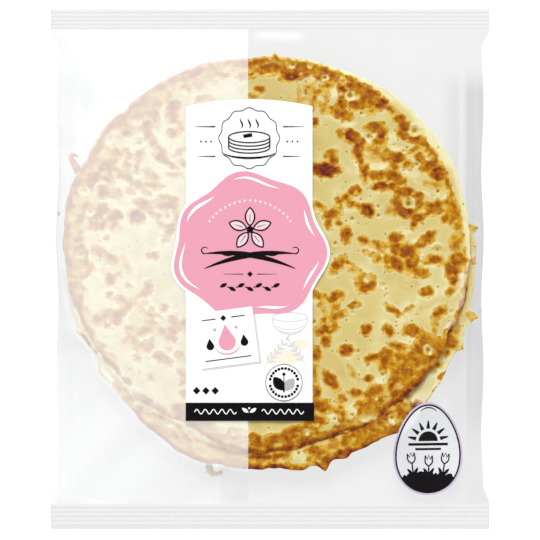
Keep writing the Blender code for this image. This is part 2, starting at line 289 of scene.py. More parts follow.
def edge_reaches(number):
    """How far a crepe reaches from the stack's middle at the even angles, in millimetres."""
    if number in CREPE_EDGES:
        marks, reaches = zip(*CREPE_EDGES[number])
        reach = np.interp(EDGE_ANGLES, marks, reaches, period=360)
    else:
        waves = ((3, 0.5, number * 1.3), (7, 0.4, number * 2.1))
        reach = HIDDEN_REACH + ripple(np.radians(EDGE_ANGLES), waves)
    reach = blurred(reach, EDGE_BLUR)
    for middle, half_width, height in NUBS.get(number, ()):
        reach = reach + height * np.exp(-(((EDGE_ANGLES - middle) / half_width) ** 2))
    turns = np.radians(EDGE_ANGLES)
    x, y = USUAL_REACH * np.cos(turns), USUAL_REACH * np.sin(turns)
    return reach + 0.26 * noise(x, y, 2.4, number) + 0.34 * noise(x, y, 5.5, number)


def taut(reaches, steps):
    """An outline that passes over another's dents, as taut film does."""
    widest = np.max([np.roll(reaches, step) for step in range(-steps, steps + 1)], axis=0)
    return blurred(widest, steps)


EDGE_REACHES = {number: edge_reaches(number) for number in range(1, CREPE_COUNT + 1)}
WIDEST_REACHES = np.max(list(EDGE_REACHES.values()), axis=0)
FILM_TOP_RING = taut(EDGE_REACHES[CREPE_COUNT], 24) + 0.5
FILM_STACK_RING = np.maximum(taut(WIDEST_REACHES, 9) + 0.4, FILM_TOP_RING + 1.0)


def reach_at(reaches, angle):
    return np.interp(np.degrees(angle), EDGE_ANGLES, reaches, period=360) * MM


# The film's surfaces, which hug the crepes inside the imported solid


def body_edge(y):
    """Half the bag's width at a height between the seals."""
    from_seal = np.minimum(TOP_SEAL_LINE - y, y - BOTTOM_SEAL_LINE)
    flare = smooth(1.0 - from_seal / FLARE_LENGTH)
    wave = SIDE_WAVE * np.sin(2 * math.pi * y / SIDE_WAVE_LENGTH) * (1.0 - flare)
    return mix(BODY_WIDTH, SEAL_WIDTH, flare) / 2 + wave


def slope_share(margin):
    return smooth((margin - NARROW_MARGIN) / (WIDE_MARGIN - NARROW_MARGIN))


def room_to_edge(x, y):
    """About how far the body's nearest edge is, with no crease between one edge and the next."""
    half = body_edge(y)
    rooms = np.stack([half - x, half + x, TOP_SEAL_LINE - y, y - BOTTOM_SEAL_LINE])
    return np.sum(np.maximum(rooms, 0.001 * MM) ** -2.0, axis=0) ** -0.5


def film_levels(x, y):
    """The heights of the film's front and back."""
    radius, angle = polar(x, y)
    top, stack = reach_at(FILM_TOP_RING, angle), reach_at(FILM_STACK_RING, angle)
    step = smooth((radius - top + CREPE_SHOULDER) / (2 * CREPE_SHOULDER))
    on_stack = STACK_THICKNESS - TOP_CREPE_STEP * step
    beyond, room = np.maximum(radius - stack, 0.0), room_to_edge(x, y)
    share = beyond / (beyond + room)
    sloping = slope_share(beyond + room)
    fall = mix(np.sqrt(1.0 - share * share), (1.0 - share) ** 1.2, sloping)
    fold = ripple(angle, FILM_FOLDS) * np.sin(math.pi * share) * sloping
    front = mix(SEAL_LEVEL + FILM_GAP / 2, on_stack, fall) + fold
    front = front + film_creases(x, y) * smooth(beyond / FOLDS_BLEND) * smooth(room / SEAL_BLEND)
    back = (SEAL_LEVEL - FILM_GAP / 2) * (1.0 - fall)
    return front, np.maximum(back, FILM_BASE)


def film_creases(x, y):
    """Low creases in the film's front: gathers by the seals, and folds along the sides."""
    height = 0.0
    for from_seal, seed in ((TOP_SEAL_LINE - y, 41), (y - BOTTOM_SEAL_LINE, 47)):
        fade = np.exp(-np.maximum(from_seal, 0.0) / GATHER_LENGTH) * smooth(from_seal / SEAL_BLEND)
        gathers = noise(x + GATHER_LEAN * from_seal, GATHER_STRETCH * from_seal, GATHER_SIZE, seed)
        height = height + GATHER_HEIGHT * fade * gathers
    side = smooth((np.abs(x) - SIDE_FOLDS_START) / SIDE_FOLDS_RISE)
    return height + SIDE_FOLD_HEIGHT * side * noise(x, SIDE_FOLD_STRETCH * y, SIDE_FOLD_SIZE, 53)


# Meshes from arrays


def mesh_from(name, points, polygons, attributes=None):
    """A smooth mesh from an array of points and lists of polygons, with values for each point."""
    mesh = bpy.data.meshes.new(name)
    loops = np.concatenate([np.asarray(p, np.int32).ravel() for p in polygons])
    counts = np.concatenate([np.full(len(p), np.asarray(p).shape[1]) for p in polygons])
    mesh.vertices.add(len(points))
    mesh.vertices.foreach_set("co", np.asarray(points, np.float32).ravel())
    mesh.loops.add(len(loops))
    mesh.loops.foreach_set("vertex_index", loops.astype(np.int32))
    mesh.polygons.add(len(counts))
    starts = np.concatenate([[0], np.cumsum(counts)[:-1]])
    mesh.polygons.foreach_set("loop_start", starts.astype(np.int32))
    mesh.update(calc_edges=True)
    mesh.shade_smooth()
    for key, values in (attributes or {}).items():
        layer = mesh.attributes.new(key, "FLOAT", "POINT")
        layer.data.foreach_set("value", np.asarray(values, np.float32).ravel())
    return mesh


def add_piece(name, mesh, material, replaced=None):
    piece = bpy.data.objects.new(name, mesh)
    bpy.context.scene.collection.objects.link(piece)
    mesh.materials.clear()
    mesh.materials.append(material)
    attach(piece, "root")
    if replaced:
        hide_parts(replaced)
    return piece


def let_light_through(piece):
    """Thin clear film neither shades what is behind it nor colours the light."""
    piece.visible_shadow = False
    piece.visible_diffuse = False


def as_points(*grids):
    return np.stack(grids, axis=-1).reshape(-1, len(grids))


def grid_quads(rows, columns, first=0):
    """Quads between the points of a grid that is stored row by row, facing up."""
    corner = first + np.arange(rows - 1)[:, None] * columns + np.arange(columns - 1)[None, :]
    corner = corner.ravel()
    return np.stack([corner, corner + 1, corner + columns + 1, corner + columns], axis=1)


def rim_of_grid(rows, columns):
    """The grid's outer points, counter-clockwise."""
    index = np.arange(rows * columns).reshape(rows, columns)
    return np.concatenate([index[0, :-1], index[:-1, -1], index[-1, :0:-1], index[:0:-1, 0]])


def wall_quads(ring, next_ring):
    """Quads between two closed rows of points."""
    return np.stack([ring, next_ring, np.roll(next_ring, -1), np.roll(ring, -1)], axis=1)


# Materials


def linear(channel):
    """A colour channel from 0 to 255, as in a picture, as light."""
    share = channel / 255.0
    return share / 12.92 if share <= 0.04045 else ((share + 0.055) / 1.055) ** 2.4


def paint(red, green, blue, film_layers=1):
    """The surface colour that shows as this picture colour in the scene's light, through film."""
    level = LIGHT_LEVEL * FILM_PASS**film_layers
    return (*(min(max(linear(c) - VEIL, 0.002) / level, 0.95) for c in (red, green, blue)), 1.0)


def new_tree(name):
    material = bpy.data.materials.new(name)
    material.use_nodes = True
    material.node_tree.nodes.clear()
    return material, material.node_tree


def add_node(tree, kind, inputs=None, **settings):
    """A shader node. inputs gives its sockets a value, or a link from another node's output."""
    made = tree.nodes.new("ShaderNode" + kind)
    for key, value in settings.items():
        setattr(made, key, value)
    for key, value in (inputs or {}).items():
        if isinstance(value, bpy.types.NodeSocket):
            tree.links.new(value, made.inputs[key])
        else:
            made.inputs[key].default_value = value
    return made


def math_node(tree, operation, *values):
    return add_node(tree, "Math", dict(enumerate(values)), operation=operation).outputs[0]


def span(tree, value, start, end, low=0.0, high=1.0):
    """value from start to end as low to high, with level ends."""
    inputs = {"Value": value, "From Min": start, "From Max": end, "To Min": low, "To Max": high}
    return add_node(tree, "MapRange", inputs, interpolation_type="SMOOTHSTEP").outputs["Result"]


def blend(tree, share, first, second):
    """Two colours mixed."""
    inputs = {0: share, 6: first, 7: second}
    return add_node(tree, "Mix", inputs, data_type="RGBA").outputs[2]


def object_place(tree):
    return add_node(tree, "TexCoord").outputs["Object"]


def object_noise(tree, size, detail, roughness=0.5):
    """Noise whose blots are about this size, fixed to the piece."""
    place = object_place(tree)
    inputs = {"Vector": place, "Scale": 1.0 / size, "Detail": detail, "Roughness": roughness}
    return add_node(tree, "TexNoise", inputs).outputs["Fac"]


def cells_of(tree, size):
    """Points at random places, about this far apart on the level."""
    inputs = {"Vector": object_place(tree), "Scale": 1.0 / size}
    return add_node(tree, "TexVoronoi", inputs, voronoi_dimensions="2D")


def point_value(tree, name):
    return add_node(tree, "Attribute", attribute_name=name).outputs["Fac"]


def finish_material(tree, shader):
    output = add_node(tree, "OutputMaterial")
    tree.links.new(shader, output.inputs["Surface"])


PALE_CREPE = paint(222, 203, 132)
DEEP_CREPE = paint(211, 186, 106)
LIGHT_CREPE = paint(244, 236, 186)
PIT_COLOUR = paint(134, 106, 20)
HOLE_COLOUR = paint(192, 146, 36)
BROWNING = (
    (0.00, paint(226, 186, 84)),
    (0.20, paint(206, 152, 26)),
    (0.44, paint(184, 115, 0)),
    (0.70, paint(158, 82, 0)),
    (1.00, paint(112, 40, 0)),
)
RAGGED_SIZE = 2.2 * MM
MOTTLE_SIZE = 2.8 * MM
GRAIN_SIZE = 0.9 * MM
LOBE_SIZE = 2.3 * MM
PRICK_SPACING = 5.6 * MM
CREPE_SHEEN = (1.0, 0.78, 0.45, 1.0)


def browned_colour(tree, tone):
    """The browning's colours, from pale to dark."""
    ramp = add_node(tree, "ValToRGB", {"Fac": tone})
    stops = ramp.color_ramp.elements
    while len(stops) < len(BROWNING):
        stops.new(0.5)
    for stop, (position, colour) in zip(stops, BROWNING):
        stop.position = position
        stop.color = colour
    return ramp.outputs["Color"]


def pinpricks(tree):
    """The pits of pinpricks at random places, some wider than others, and their rims, which carry a
    painted highlight.
    """
    cells = cells_of(tree, PRICK_SPACING)
    chance = add_node(tree, "SeparateColor", {"Color": cells.outputs["Color"]}).outputs[0]
    size = span(tree, chance, 0.25, 1.0, 0.003, 0.12)
    reach = math_node(tree, "DIVIDE", cells.outputs["Distance"], size)
    rim = math_node(tree, "MULTIPLY", span(tree, reach, 0.75, 1.15), span(tree, reach, 2.4, 1.3))
    return span(tree, reach, 1.2, 0.2), rim


def batter_colour(tree, light, inside, bubble, pit, pit_rim):
    """Pale batter, lighter round the spots, partly a pale border and partly painted highlight, with painted
    highlights on the rims of bubbles and pinpricks.
    """
    pale = blend(tree, span(tree, light, -0.7, 0.1), DEEP_CREPE, PALE_CREPE)
    pale = blend(tree, span(tree, light, 0.0, 1.0), pale, LIGHT_CREPE)
    # A pale ring just outside each spot, partly the batter's pale border and partly painted highlight
    rim = math_node(tree, "MULTIPLY", span(tree, inside, -1.5, -0.45), span(tree, inside, 0.1, -0.4))
    pale = blend(tree, math_node(tree, "MULTIPLY", rim, 0.2), pale, LIGHT_CREPE)
    # Painted highlights on the bubbles' rims
    pale = blend(tree, span(tree, bubble, 0.05, 0.9, 0.0, 0.6), pale, LIGHT_CREPE)
    pale = blend(tree, span(tree, bubble, -0.08, -0.5), pale, HOLE_COLOUR)
    pale = blend(tree, span(tree, bubble, -0.6, -1.1), pale, PIT_COLOUR)
    # Painted highlights on the pinpricks' rims
    pale = blend(tree, math_node(tree, "MULTIPLY", pit_rim, 0.2), pale, LIGHT_CREPE)
    return blend(tree, math_node(tree, "MULTIPLY", pit, 0.68), pale, PIT_COLOUR)


def crepe_material():
    """Pale batter with browned spots that are a little sunken behind a pale rim, which is partly painted
    highlight. The points hold how far inside a spot they are, how dark the spot is, how light the batter
    is, and the rims and floors of bubbles, the rims with painted highlights. The spots' uneven edges, their
    mottling and the pinpricks are finer than the mesh."""
    material, tree = new_tree("soft_crepe")
    depth = point_value(tree, "spot_depth")
    dark = point_value(tree, "spot_dark")
    light = point_value(tree, "lightness")
    bubble = point_value(tree, "bubble")
    ragged = object_noise(tree, RAGGED_SIZE, 1.0, 0.4)
    mottle = object_noise(tree, MOTTLE_SIZE, 1.5)
    grain = object_noise(tree, GRAIN_SIZE, 1.0)
    lobes = cells_of(tree, LOBE_SIZE).outputs["Distance"]
    pit, pit_rim = pinpricks(tree)

    inside = math_node(tree, "MULTIPLY_ADD", lobes, -0.95, math_node(tree, "ADD", depth, 0.52))
    inside = math_node(tree, "MULTIPLY_ADD", ragged, 0.8, inside)
    inside = math_node(tree, "MULTIPLY_ADD", grain, 0.5, inside)
    strength = span(tree, dark, 0.05, 0.4, 0.5, 1.0)
    browned = math_node(tree, "MULTIPLY", span(tree, inside, -0.42, 0.30), strength)
    deep = span(tree, math_node(tree, "ADD", depth, ragged), -0.2, 1.5, 0.14, 0.97)
    tone = math_node(tree, "MULTIPLY_ADD", dark, deep, span(tree, mottle, 0.30, 0.70, -0.20, 0.20))
    tone = math_node(tree, "ADD", tone, span(tree, lobes, 0.1, 0.6, 0.04, -0.08))
    tone = math_node(tree, "ADD", tone, span(tree, grain, 0.30, 0.70, 0.07, -0.07))
    batter = batter_colour(tree, light, inside, bubble, pit, pit_rim)

    lumps = math_node(tree, "MULTIPLY_ADD", grain, 0.25, mottle)
    lumps = math_node(tree, "MULTIPLY_ADD", lobes, -0.45, lumps)
    relief = math_node(tree, "MULTIPLY", math_node(tree, "MULTIPLY", lumps, browned), 0.5)
    relief = math_node(tree, "ADD", relief, span(tree, inside, -0.7, 0.7, 0.10, -0.10))
    relief = math_node(tree, "MULTIPLY_ADD", pit, -0.03, relief)
    relief = math_node(tree, "MULTIPLY_ADD", pit_rim, 0.04, relief)
    bump = add_node(tree, "Bump", {"Height": relief, "Distance": 1.0 * MM, "Strength": 1.0})
    inputs = {
        "Base Color": blend(tree, browned, batter, browned_colour(tree, tone)),
        "Roughness": span(tree, mottle, 0.3, 0.7, 0.27, 0.36),
        "Normal": bump.outputs["Normal"],
        "Specular IOR Level": 0.3,
        "Specular Tint": CREPE_SHEEN,
    }
    finish_material(tree, add_node(tree, "BsdfPrincipled", inputs).outputs[0])
    return material


# The colour that the painted shade of the folded sides takes the film to
SIDE_SHADE_COLOUR = (0.63, 0.632, 0.635, 1.0)
HAZE_AND_HIGHLIGHT_WHITE = (0.84, 0.84, 0.845, 1)
FILM_GLOSS = (0.2, 0.2, 0.2, 1)
MOST_GLOSS = 0.05
CLEAR = (1, 1, 1, 1)


def film_material():
    """Clear film: what is behind shows a little darker, more so under the painted shade of the folded
    sides, and ridges and folds carry a painted white highlight."""
    material, tree = new_tree("clear_film")
    shade = point_value(tree, "shade")
    haze_and_highlight = point_value(tree, "haze_and_highlight")
    clear_tint = (FILM_PASS, FILM_PASS + 0.001, FILM_PASS + 0.002, 1.0)
    tint = blend(tree, shade, clear_tint, SIDE_SHADE_COLOUR)
    clear = add_node(tree, "BsdfTransparent", {"Color": tint}).outputs[0]
    white = add_node(tree, "BsdfDiffuse", {"Color": HAZE_AND_HIGHLIGHT_WHITE}).outputs[0]
    # The white haze and the painted highlights mix in here
    body = add_node(tree, "MixShader", {0: haze_and_highlight, 1: clear, 2: white}).outputs[0]
    ripples = object_noise(tree, 12.0 * MM, 2.0, 0.4)
    bump = add_node(tree, "Bump", {"Height": ripples, "Distance": 0.4 * MM, "Strength": 0.3})
    gloss_inputs = {"Color": FILM_GLOSS, "Roughness": 0.45, "Normal": bump.outputs[0]}
    gloss = add_node(tree, "BsdfAnisotropic", gloss_inputs).outputs[0]
    mirror = add_node(tree, "Fresnel", {"IOR": 1.45}).outputs[0]
    mirror = math_node(tree, "MINIMUM", mirror, MOST_GLOSS)
    finish_material(tree, add_node(tree, "MixShader", {0: mirror, 1: body, 2: gloss}).outputs[0])
    return material


INK_COLOURS = {
    "white": (0.90, 0.90, 0.90, 1),
    "pink": paint(244, 169, 190, 0),
    "dark": paint(30, 28, 30, 0),
    "blush": paint(251, 222, 231, 0),
    "grey": paint(190, 191, 194, 0),
    "faint": paint(226, 227, 229, 0),
    "cream": paint(254, 246, 226, 0),
    "lilac": paint(215, 202, 226, 0),
    "pale": paint(238, 239, 241, 0),
}
MILKY_COLOUR = (0.855, 0.860, 0.872, 1)


def ink_material(name, colour, cover=None):
    """Ink on film: slightly uneven in tone and gloss. With cover, that share hides what is behind."""
    material, tree = new_tree(name)
    mottle = object_noise(tree, 0.9 * MM, 2.0)
    darker = (*(c * 0.97 for c in colour[:3]), 1.0)
    tone = blend(tree, span(tree, mottle, 0.35, 0.65), colour, darker)
    waves = object_noise(tree, 7.0 * MM, 2.0)
    bump = add_node(tree, "Bump", {"Height": waves, "Distance": 0.4 * MM, "Strength": 0.2})
    inputs = {
        "Base Color": tone,
        "Roughness": span(tree, mottle, 0.3, 0.7, 0.32, 0.42),
        "Normal": bump.outputs[0],
        "Specular IOR Level": 0.12,
    }
    ink = add_node(tree, "BsdfPrincipled", inputs).outputs[0]
    if cover:
        behind = add_node(tree, "BsdfTransparent", {"Color": CLEAR}).outputs[0]
        ink = add_node(tree, "MixShader", {0: cover, 1: behind, 2: ink}).outputs[0]
    finish_material(tree, ink)
    return material


# The film, from a grid whose square rings become the rings of the stack and of the film beside it


def ring_radius(share, angle, bag_edge):
    top = reach_at(FILM_TOP_RING, angle) - CREPE_SHOULDER
    stack = reach_at(FILM_STACK_RING, angle)
    flat = top * np.minimum(share / FLAT_SHARE, 1.0)
    on_ledge = np.clip((share - FLAT_SHARE) / (LEDGE_SHARE - FLAT_SHARE), 0.0, 1.0)
    beyond = np.clip((share - LEDGE_SHARE) / (1.0 - LEDGE_SHARE), 0.0, 1.0)
    beyond = mix(np.sin(beyond * math.pi / 2), beyond, slope_share(bag_edge - stack))
    return flat + (stack - top) * on_ledge + (bag_edge - stack) * beyond


def body_grids():
    """The film's points between the seals: x, y, front height and back height."""
    steps = np.arange(-FILM_HALF_CELLS, FILM_HALF_CELLS + 1)
    column, row = np.meshgrid(steps, steps)
    ring = np.maximum(np.abs(column), np.abs(row))
    safe = np.maximum(ring, 1)
    edge_y = mix(BOTTOM_SEAL_LINE, TOP_SEAL_LINE, (row / safe + 1) / 2)
    edge_x = column / safe * body_edge(edge_y)
    bag_edge, angle = polar(edge_x, edge_y)
    radius = ring_radius(ring / FILM_HALF_CELLS, angle, bag_edge)
    x = STACK_MIDDLE[0] + radius * np.cos(angle)
    y = STACK_MIDDLE[1] + radius * np.sin(angle)
    return x, y, *film_levels(x, y)


def seal_grids(is_top):
    """A seal's points, from its inner line outwards: x, y, front height and back height."""
    rows = SEAL_RIDGES * RIDGE_ROWS
    out = np.arange(1, rows + 1) / rows
    if is_top:
        y = TOP_SEAL_LINE + TOP_SEAL * out
    else:
        y = np.append(BOTTOM_SEAL_LINE - BOTTOM_SEAL * out, -BAG_HEIGHT / 2)
        out = np.append(out, 1.0)
    across = np.arange(-FILM_HALF_CELLS, FILM_HALF_CELLS + 1) / FILM_HALF_CELLS
    x, y = np.meshgrid(across * SEAL_WIDTH / 2, y)
    lift = RIDGE_RELIEF * (0.5 - 0.5 * np.cos(2 * math.pi * SEAL_RIDGES * out))[:, None]
    sway = SEAL_SWAY * noise(x, 0 * y, SEAL_SWAY_LENGTH, 61 if is_top else 67) * out[:, None]
    level = SEAL_LEVEL + lift + sway
    return x, y, level + FILM_GAP / 2, level - FILM_GAP / 2


def seal_ridges(y):
    """0 in the grooves and outside the seals, and 1 on the ridges."""
    on_top = np.clip((y - TOP_SEAL_LINE) / TOP_SEAL, 0.0, 1.0)
    on_bottom = np.clip((BOTTOM_SEAL_LINE - y) / BOTTOM_SEAL, 0.0, 1.0)
    return 0.5 - 0.5 * np.cos(2 * math.pi * SEAL_RIDGES * (on_top + on_bottom))


def side_shade(x, y):
    """How dark the painted shade on the folded film along the sides is, from 0 to 1, lightened along a
    painted light streak.
    """
    out = np.abs(x)
    from_foot = mix(0.35, 1.0, smooth((y - SHADE_FOOT) / SHADE_FOOT_FADE))
    fade = smooth((SHADE_END - y) / SHADE_END_FADE) * from_foot
    fade = fade * np.where(x < 0, LEFT_SHADE, 1.0)
    broad = BROAD_SHADE * smooth((out - BROAD_START) / BROAD_RISE)
    folded = smooth((out - FOLDED_START) / FOLDED_RISE)
    # A painted light streak that lightens the shade
    highlight_streak = np.exp(-(((out - HIGHLIGHT_STREAK_OUT) / HIGHLIGHT_STREAK_WIDTH) ** 2)) * smooth((y - HIGHLIGHT_STREAK_FOOT) / HIGHLIGHT_STREAK_FADE)
    uneven = 0.10 * folded * noise(x, 0.03 * y, FOLDED_GRAIN, 53)
    darkest = np.maximum(broad, FOLDED_SHADE * folded)
    return np.clip((darkest * (1 - 0.8 * highlight_streak) + uneven) * fade, 0.0, 1.0)


def painted_glints(x, y):
    """The painted white highlight of the folds that catch the light."""
    haze_and_highlight = np.zeros_like(x)
    for x0, y0, x1, y1, half_width, strength in GLINTS:
        start, way = np.array([x0, y0]) * MM, np.array([x1 - x0, y1 - y0]) * MM
        length = np.hypot(*way)
        away_x, away_y = x - start[0], y - start[1]
        along = (away_x * way[0] + away_y * way[1]) / length**2
        aside = np.abs(away_x * way[1] - away_y * way[0]) / length
        ends = smooth(along / 0.25) * smooth((1 - along) / 0.25)
        haze_and_highlight = np.maximum(haze_and_highlight, strength * ends * np.exp(-((aside / (half_width * MM)) ** 2)))
    return haze_and_highlight


def make_film(material):
    """The film, and its front's points as a grid with their normals, for the print that lies on it."""
    top, body, bottom = seal_grids(True), body_grids(), seal_grids(False)
    x, y, front, back = (
        np.concatenate([low[::-1], middle, high]) for low, middle, high in zip(bottom, body, top)
    )
    points = np.concatenate([as_points(x, y, front), as_points(x, y, back)])
    rim = rim_of_grid(*x.shape)
    upper = grid_quads(*x.shape)
    lower = grid_quads(*x.shape, x.size)[:, ::-1]
    sealed = (y > TOP_SEAL_LINE) | (y < BOTTOM_SEAL_LINE)
    # Painted highlights on the seals' ridges
    haze_and_highlight = np.where(sealed, RIDGE_HIGHLIGHT * seal_ridges(y), 0.0)
    seal_shade = np.where(sealed, np.where(y > 0, TOP_SEAL_SHADE, BOTTOM_SEAL_SHADE), 0.0)
    # The back takes the painted shade of the folded sides, and the front the painted glints of its folds
    attributes = {
        "shade": np.stack([seal_shade, np.maximum(seal_shade, side_shade(x, y) * ~sealed)]),
        "haze_and_highlight": np.stack([haze_and_highlight + painted_glints(x, y) * ~sealed, haze_and_highlight]),
    }
    mesh = mesh_from("film", points, [upper, lower, wall_quads(rim, rim + x.size)], attributes)
    let_light_through(add_piece("film", mesh, material, "bag"))
    normals = np.zeros(len(points) * 3, np.float32)
    mesh.vertex_normals.foreach_get("vector", normals)
    seal_rows = len(bottom[0])
    rows = slice(seal_rows, seal_rows + len(body[0]))
    fronts = [grid[rows] for grid in (x, y, front)]
    return fronts, normals.reshape(2, *x.shape, 3)[0][rows]


def make_milky_print(material, fronts, normals):
    """A milky white print on the film's left half, up to a straight edge."""
    points = as_points(*fronts) + MILKY_LIFT * normals.reshape(-1, 3)
    mesh = mesh_from("milky_print", points, [grid_quads(*fronts[0].shape)])
    shape = bmesh.new()
    shape.from_mesh(mesh)
    geometry = list(shape.verts) + list(shape.edges) + list(shape.faces)
    edge = (MILKY_EDGE, 0, 0)
    bmesh.ops.bisect_plane(shape, geom=geometry, plane_co=edge, plane_no=(1, 0, 0), clear_outer=True)
    shape.to_mesh(mesh)
    shape.free()
    let_light_through(add_piece("milky_print", mesh, material))


def make_back_seam(material):
    """The strip where the film's edges are joined, folded flat along the back."""
    up = np.linspace(BOTTOM_SEAL_LINE, TOP_SEAL_LINE, 150)
    half = SEAM_WIDTH / 2
    x, y = np.meshgrid(np.linspace(SEAM_MIDDLE - half, SEAM_MIDDLE + half, 25), up)
    rib = SEAM_RIB_HEIGHT * np.cos(2 * math.pi * (x - SEAM_MIDDLE) / SEAM_RIB_SPACING)
    points = as_points(x, y, film_levels(x, y)[1] - SEAM_GAP + rib)
    attributes = {"haze_and_highlight": np.full(x.size, SEAM_HAZE), "shade": np.zeros(x.size)}
    mesh = mesh_from("back_seam", points, [grid_quads(*x.shape)[:, ::-1]], attributes)
    let_light_through(add_piece("back_seam", mesh, material))


# The crepes' browned spots, in millimetres: the middle's x and y, the length, the width, the tilt in
# degrees and how dark it is, where 1 is brown

SPOTS_ABOVE = (
    (23.5, 42.8, 13, 6, 0, 1.3), (26.1, 49.4, 5.5, 4, 30, 0.6), (27, 46, 4, 5, 0, 0.9),
    (18.5, 63.3, 4, 3.5, 0, 0.9), (34.5, 57.5, 9, 5, -20, 1.1), (38.3, 53.2, 5, 7, -15, 0.9),
    (38, 49.4, 4, 4, 0, 0.8), (39.2, 46, 2.2, 5, 0, 0.8), (45, 61.2, 7, 4, 10, 0.95),
    (48.3, 58.6, 4, 7, 0, 0.95), (47, 54.8, 4.8, 3, 0, 0.9), (46.8, 51.2, 9, 3.2, -12, 0.45),
    (44.4, 47.6, 4.5, 1.6, 0, 0.3), (50, 48.4, 4.5, 3.5, 0, 0.5), (55, 48, 6.4, 4.6, 0, 1.0),
    (59.5, 45.1, 2.9, 3.3, 0, 0.7), (53.4, 43.8, 3.6, 3.6, 0, 0.8), (40.8, 41.6, 2.6, 6, 0, 0.85),
    (46.3, 40.1, 9, 3.4, 0, 0.7), (53, 40, 8.5, 5, -20, 0.85), (48.6, 36, 8, 3.6, 12, 1.1),
    (56, 37.2, 5, 4, 0, 0.8), (58.2, 33.4, 8, 4.6, -10, 0.8), (63.6, 31.9, 5, 2.6, -15, 0.8),
    (36.5, 33.6, 5, 3.4, 25, 0.95), (32.6, 30.8, 4, 2.6, 40, 0.85), (29.2, 28.5, 2.4, 5, 0, 0.8),
    (34.6, 28.8, 5, 2.4, -25, 0.85), (42, 25.6, 6.5, 5, -25, 1.15), (37.6, 27.1, 4, 2, -30, 0.8),
    (20.8, 27.2, 5, 2, -30, 0.5), (27, 23.6, 7, 4, 20, 0.8), (25.2, 20.8, 2.6, 5, 0, 0.75),
    (29.6, 19.6, 2.2, 2.2, 0, 0.8), (51.4, 25.4, 2.6, 3.6, 30, 0.3), (54.9, 28, 4.5, 6, 0, 0.8),
    (58.6, 24.4, 9, 4.4, -12, 1.0), (63.3, 22.2, 5, 4, 0, 0.9), (69.6, 25.8, 8, 5, 10, 0.75),
    (64.4, 28.1, 3, 3.4, 0, 0.8), (72.8, 28.2, 3, 3.2, 0, 0.8), (62, 19.8, 2.5, 4, 0, 0.8),
)
SPOTS_BY_THE_UPPER_RIM = (
    (32.4, 77.4, 6.5, 3.4, -20, 1.15), (37, 78.5, 13, 6.5, -22, 0.8), (31.3, 71.3, 4.5, 6.5, 0, 0.85),
    (30, 67.6, 8.5, 4, -12, 0.85), (33.2, 65.2, 4, 2.6, 20, 0.8), (38.6, 70.7, 9, 4.8, 0, 0.85),
    (43, 74.2, 9, 7, -30, 0.8), (48.1, 71.2, 5.4, 4.2, 20, 1.15), (44.4, 68.4, 4.4, 1.8, 20, 0.7),
    (24.6, 78.8, 4.6, 1.7, 5, 0.9), (24, 84, 14, 6, -15, 0.85), (12, 87.6, 16, 6, -4, 0.85),
    (9.4, 83.4, 8.4, 4.2, 8, 1.2), (-2, 87.2, 16, 6.4, 0, 0.7), (6.6, 86, 4, 6, 0, 0.95),
    (15.6, 84.4, 4, 2.4, 10, 0.9), (18.3, 76.2, 1.2, 4.2, -10, 0.35), (15.4, 72.9, 5, 1.1, 0, 0.3),
    (12.7, 75.6, 1.1, 3.6, 10, 0.25), (16.6, 78.3, 2.4, 1.2, 0, 0.5), (19, 73.2, 1.6, 5, 0, 0.55),
    (21, 70.9, 4.6, 1.4, -5, 0.5), (21, 76.4, 4.4, 1.4, 20, 0.6), (24.4, 75, 1.3, 3, 10, 0.4),
    (23.2, 68.2, 2, 1.4, -30, 0.45), (52.1, 69, 2.2, 4.2, 20, 0.8), (55, 69, 2.6, 2.6, 0, 0.4),
    (56, 64.8, 4.4, 4.6, 0, 0.95), (57.9, 61.4, 5, 5, 0, 0.85), (58, 57.8, 6, 4, -30, 0.85),
    (62, 56.2, 8, 3.4, -15, 0.8), (66.6, 55, 5, 5, 0, 0.75), (63.3, 51.7, 5.5, 2, 15, 0.6),
    (64.4, 47.6, 3, 7, 10, 0.8), (70.6, 50, 5, 8, 30, 0.8), (69.4, 44.6, 8, 4, 25, 0.85),
    (72.4, 41, 8, 5.4, -20, 1.05), (72.2, 36.2, 8, 2, -10, 0.35), (77.3, 36.4, 3.4, 6, 15, 0.8),
    (79.4, 30.5, 4, 9, 8, 0.55), (78.8, 25.2, 6, 12, 6, 0.6), (80.7, 19.4, 3.4, 5.5, 5, 0.55),
    (75.6, 21.8, 3, 3, 0, 0.6),
)
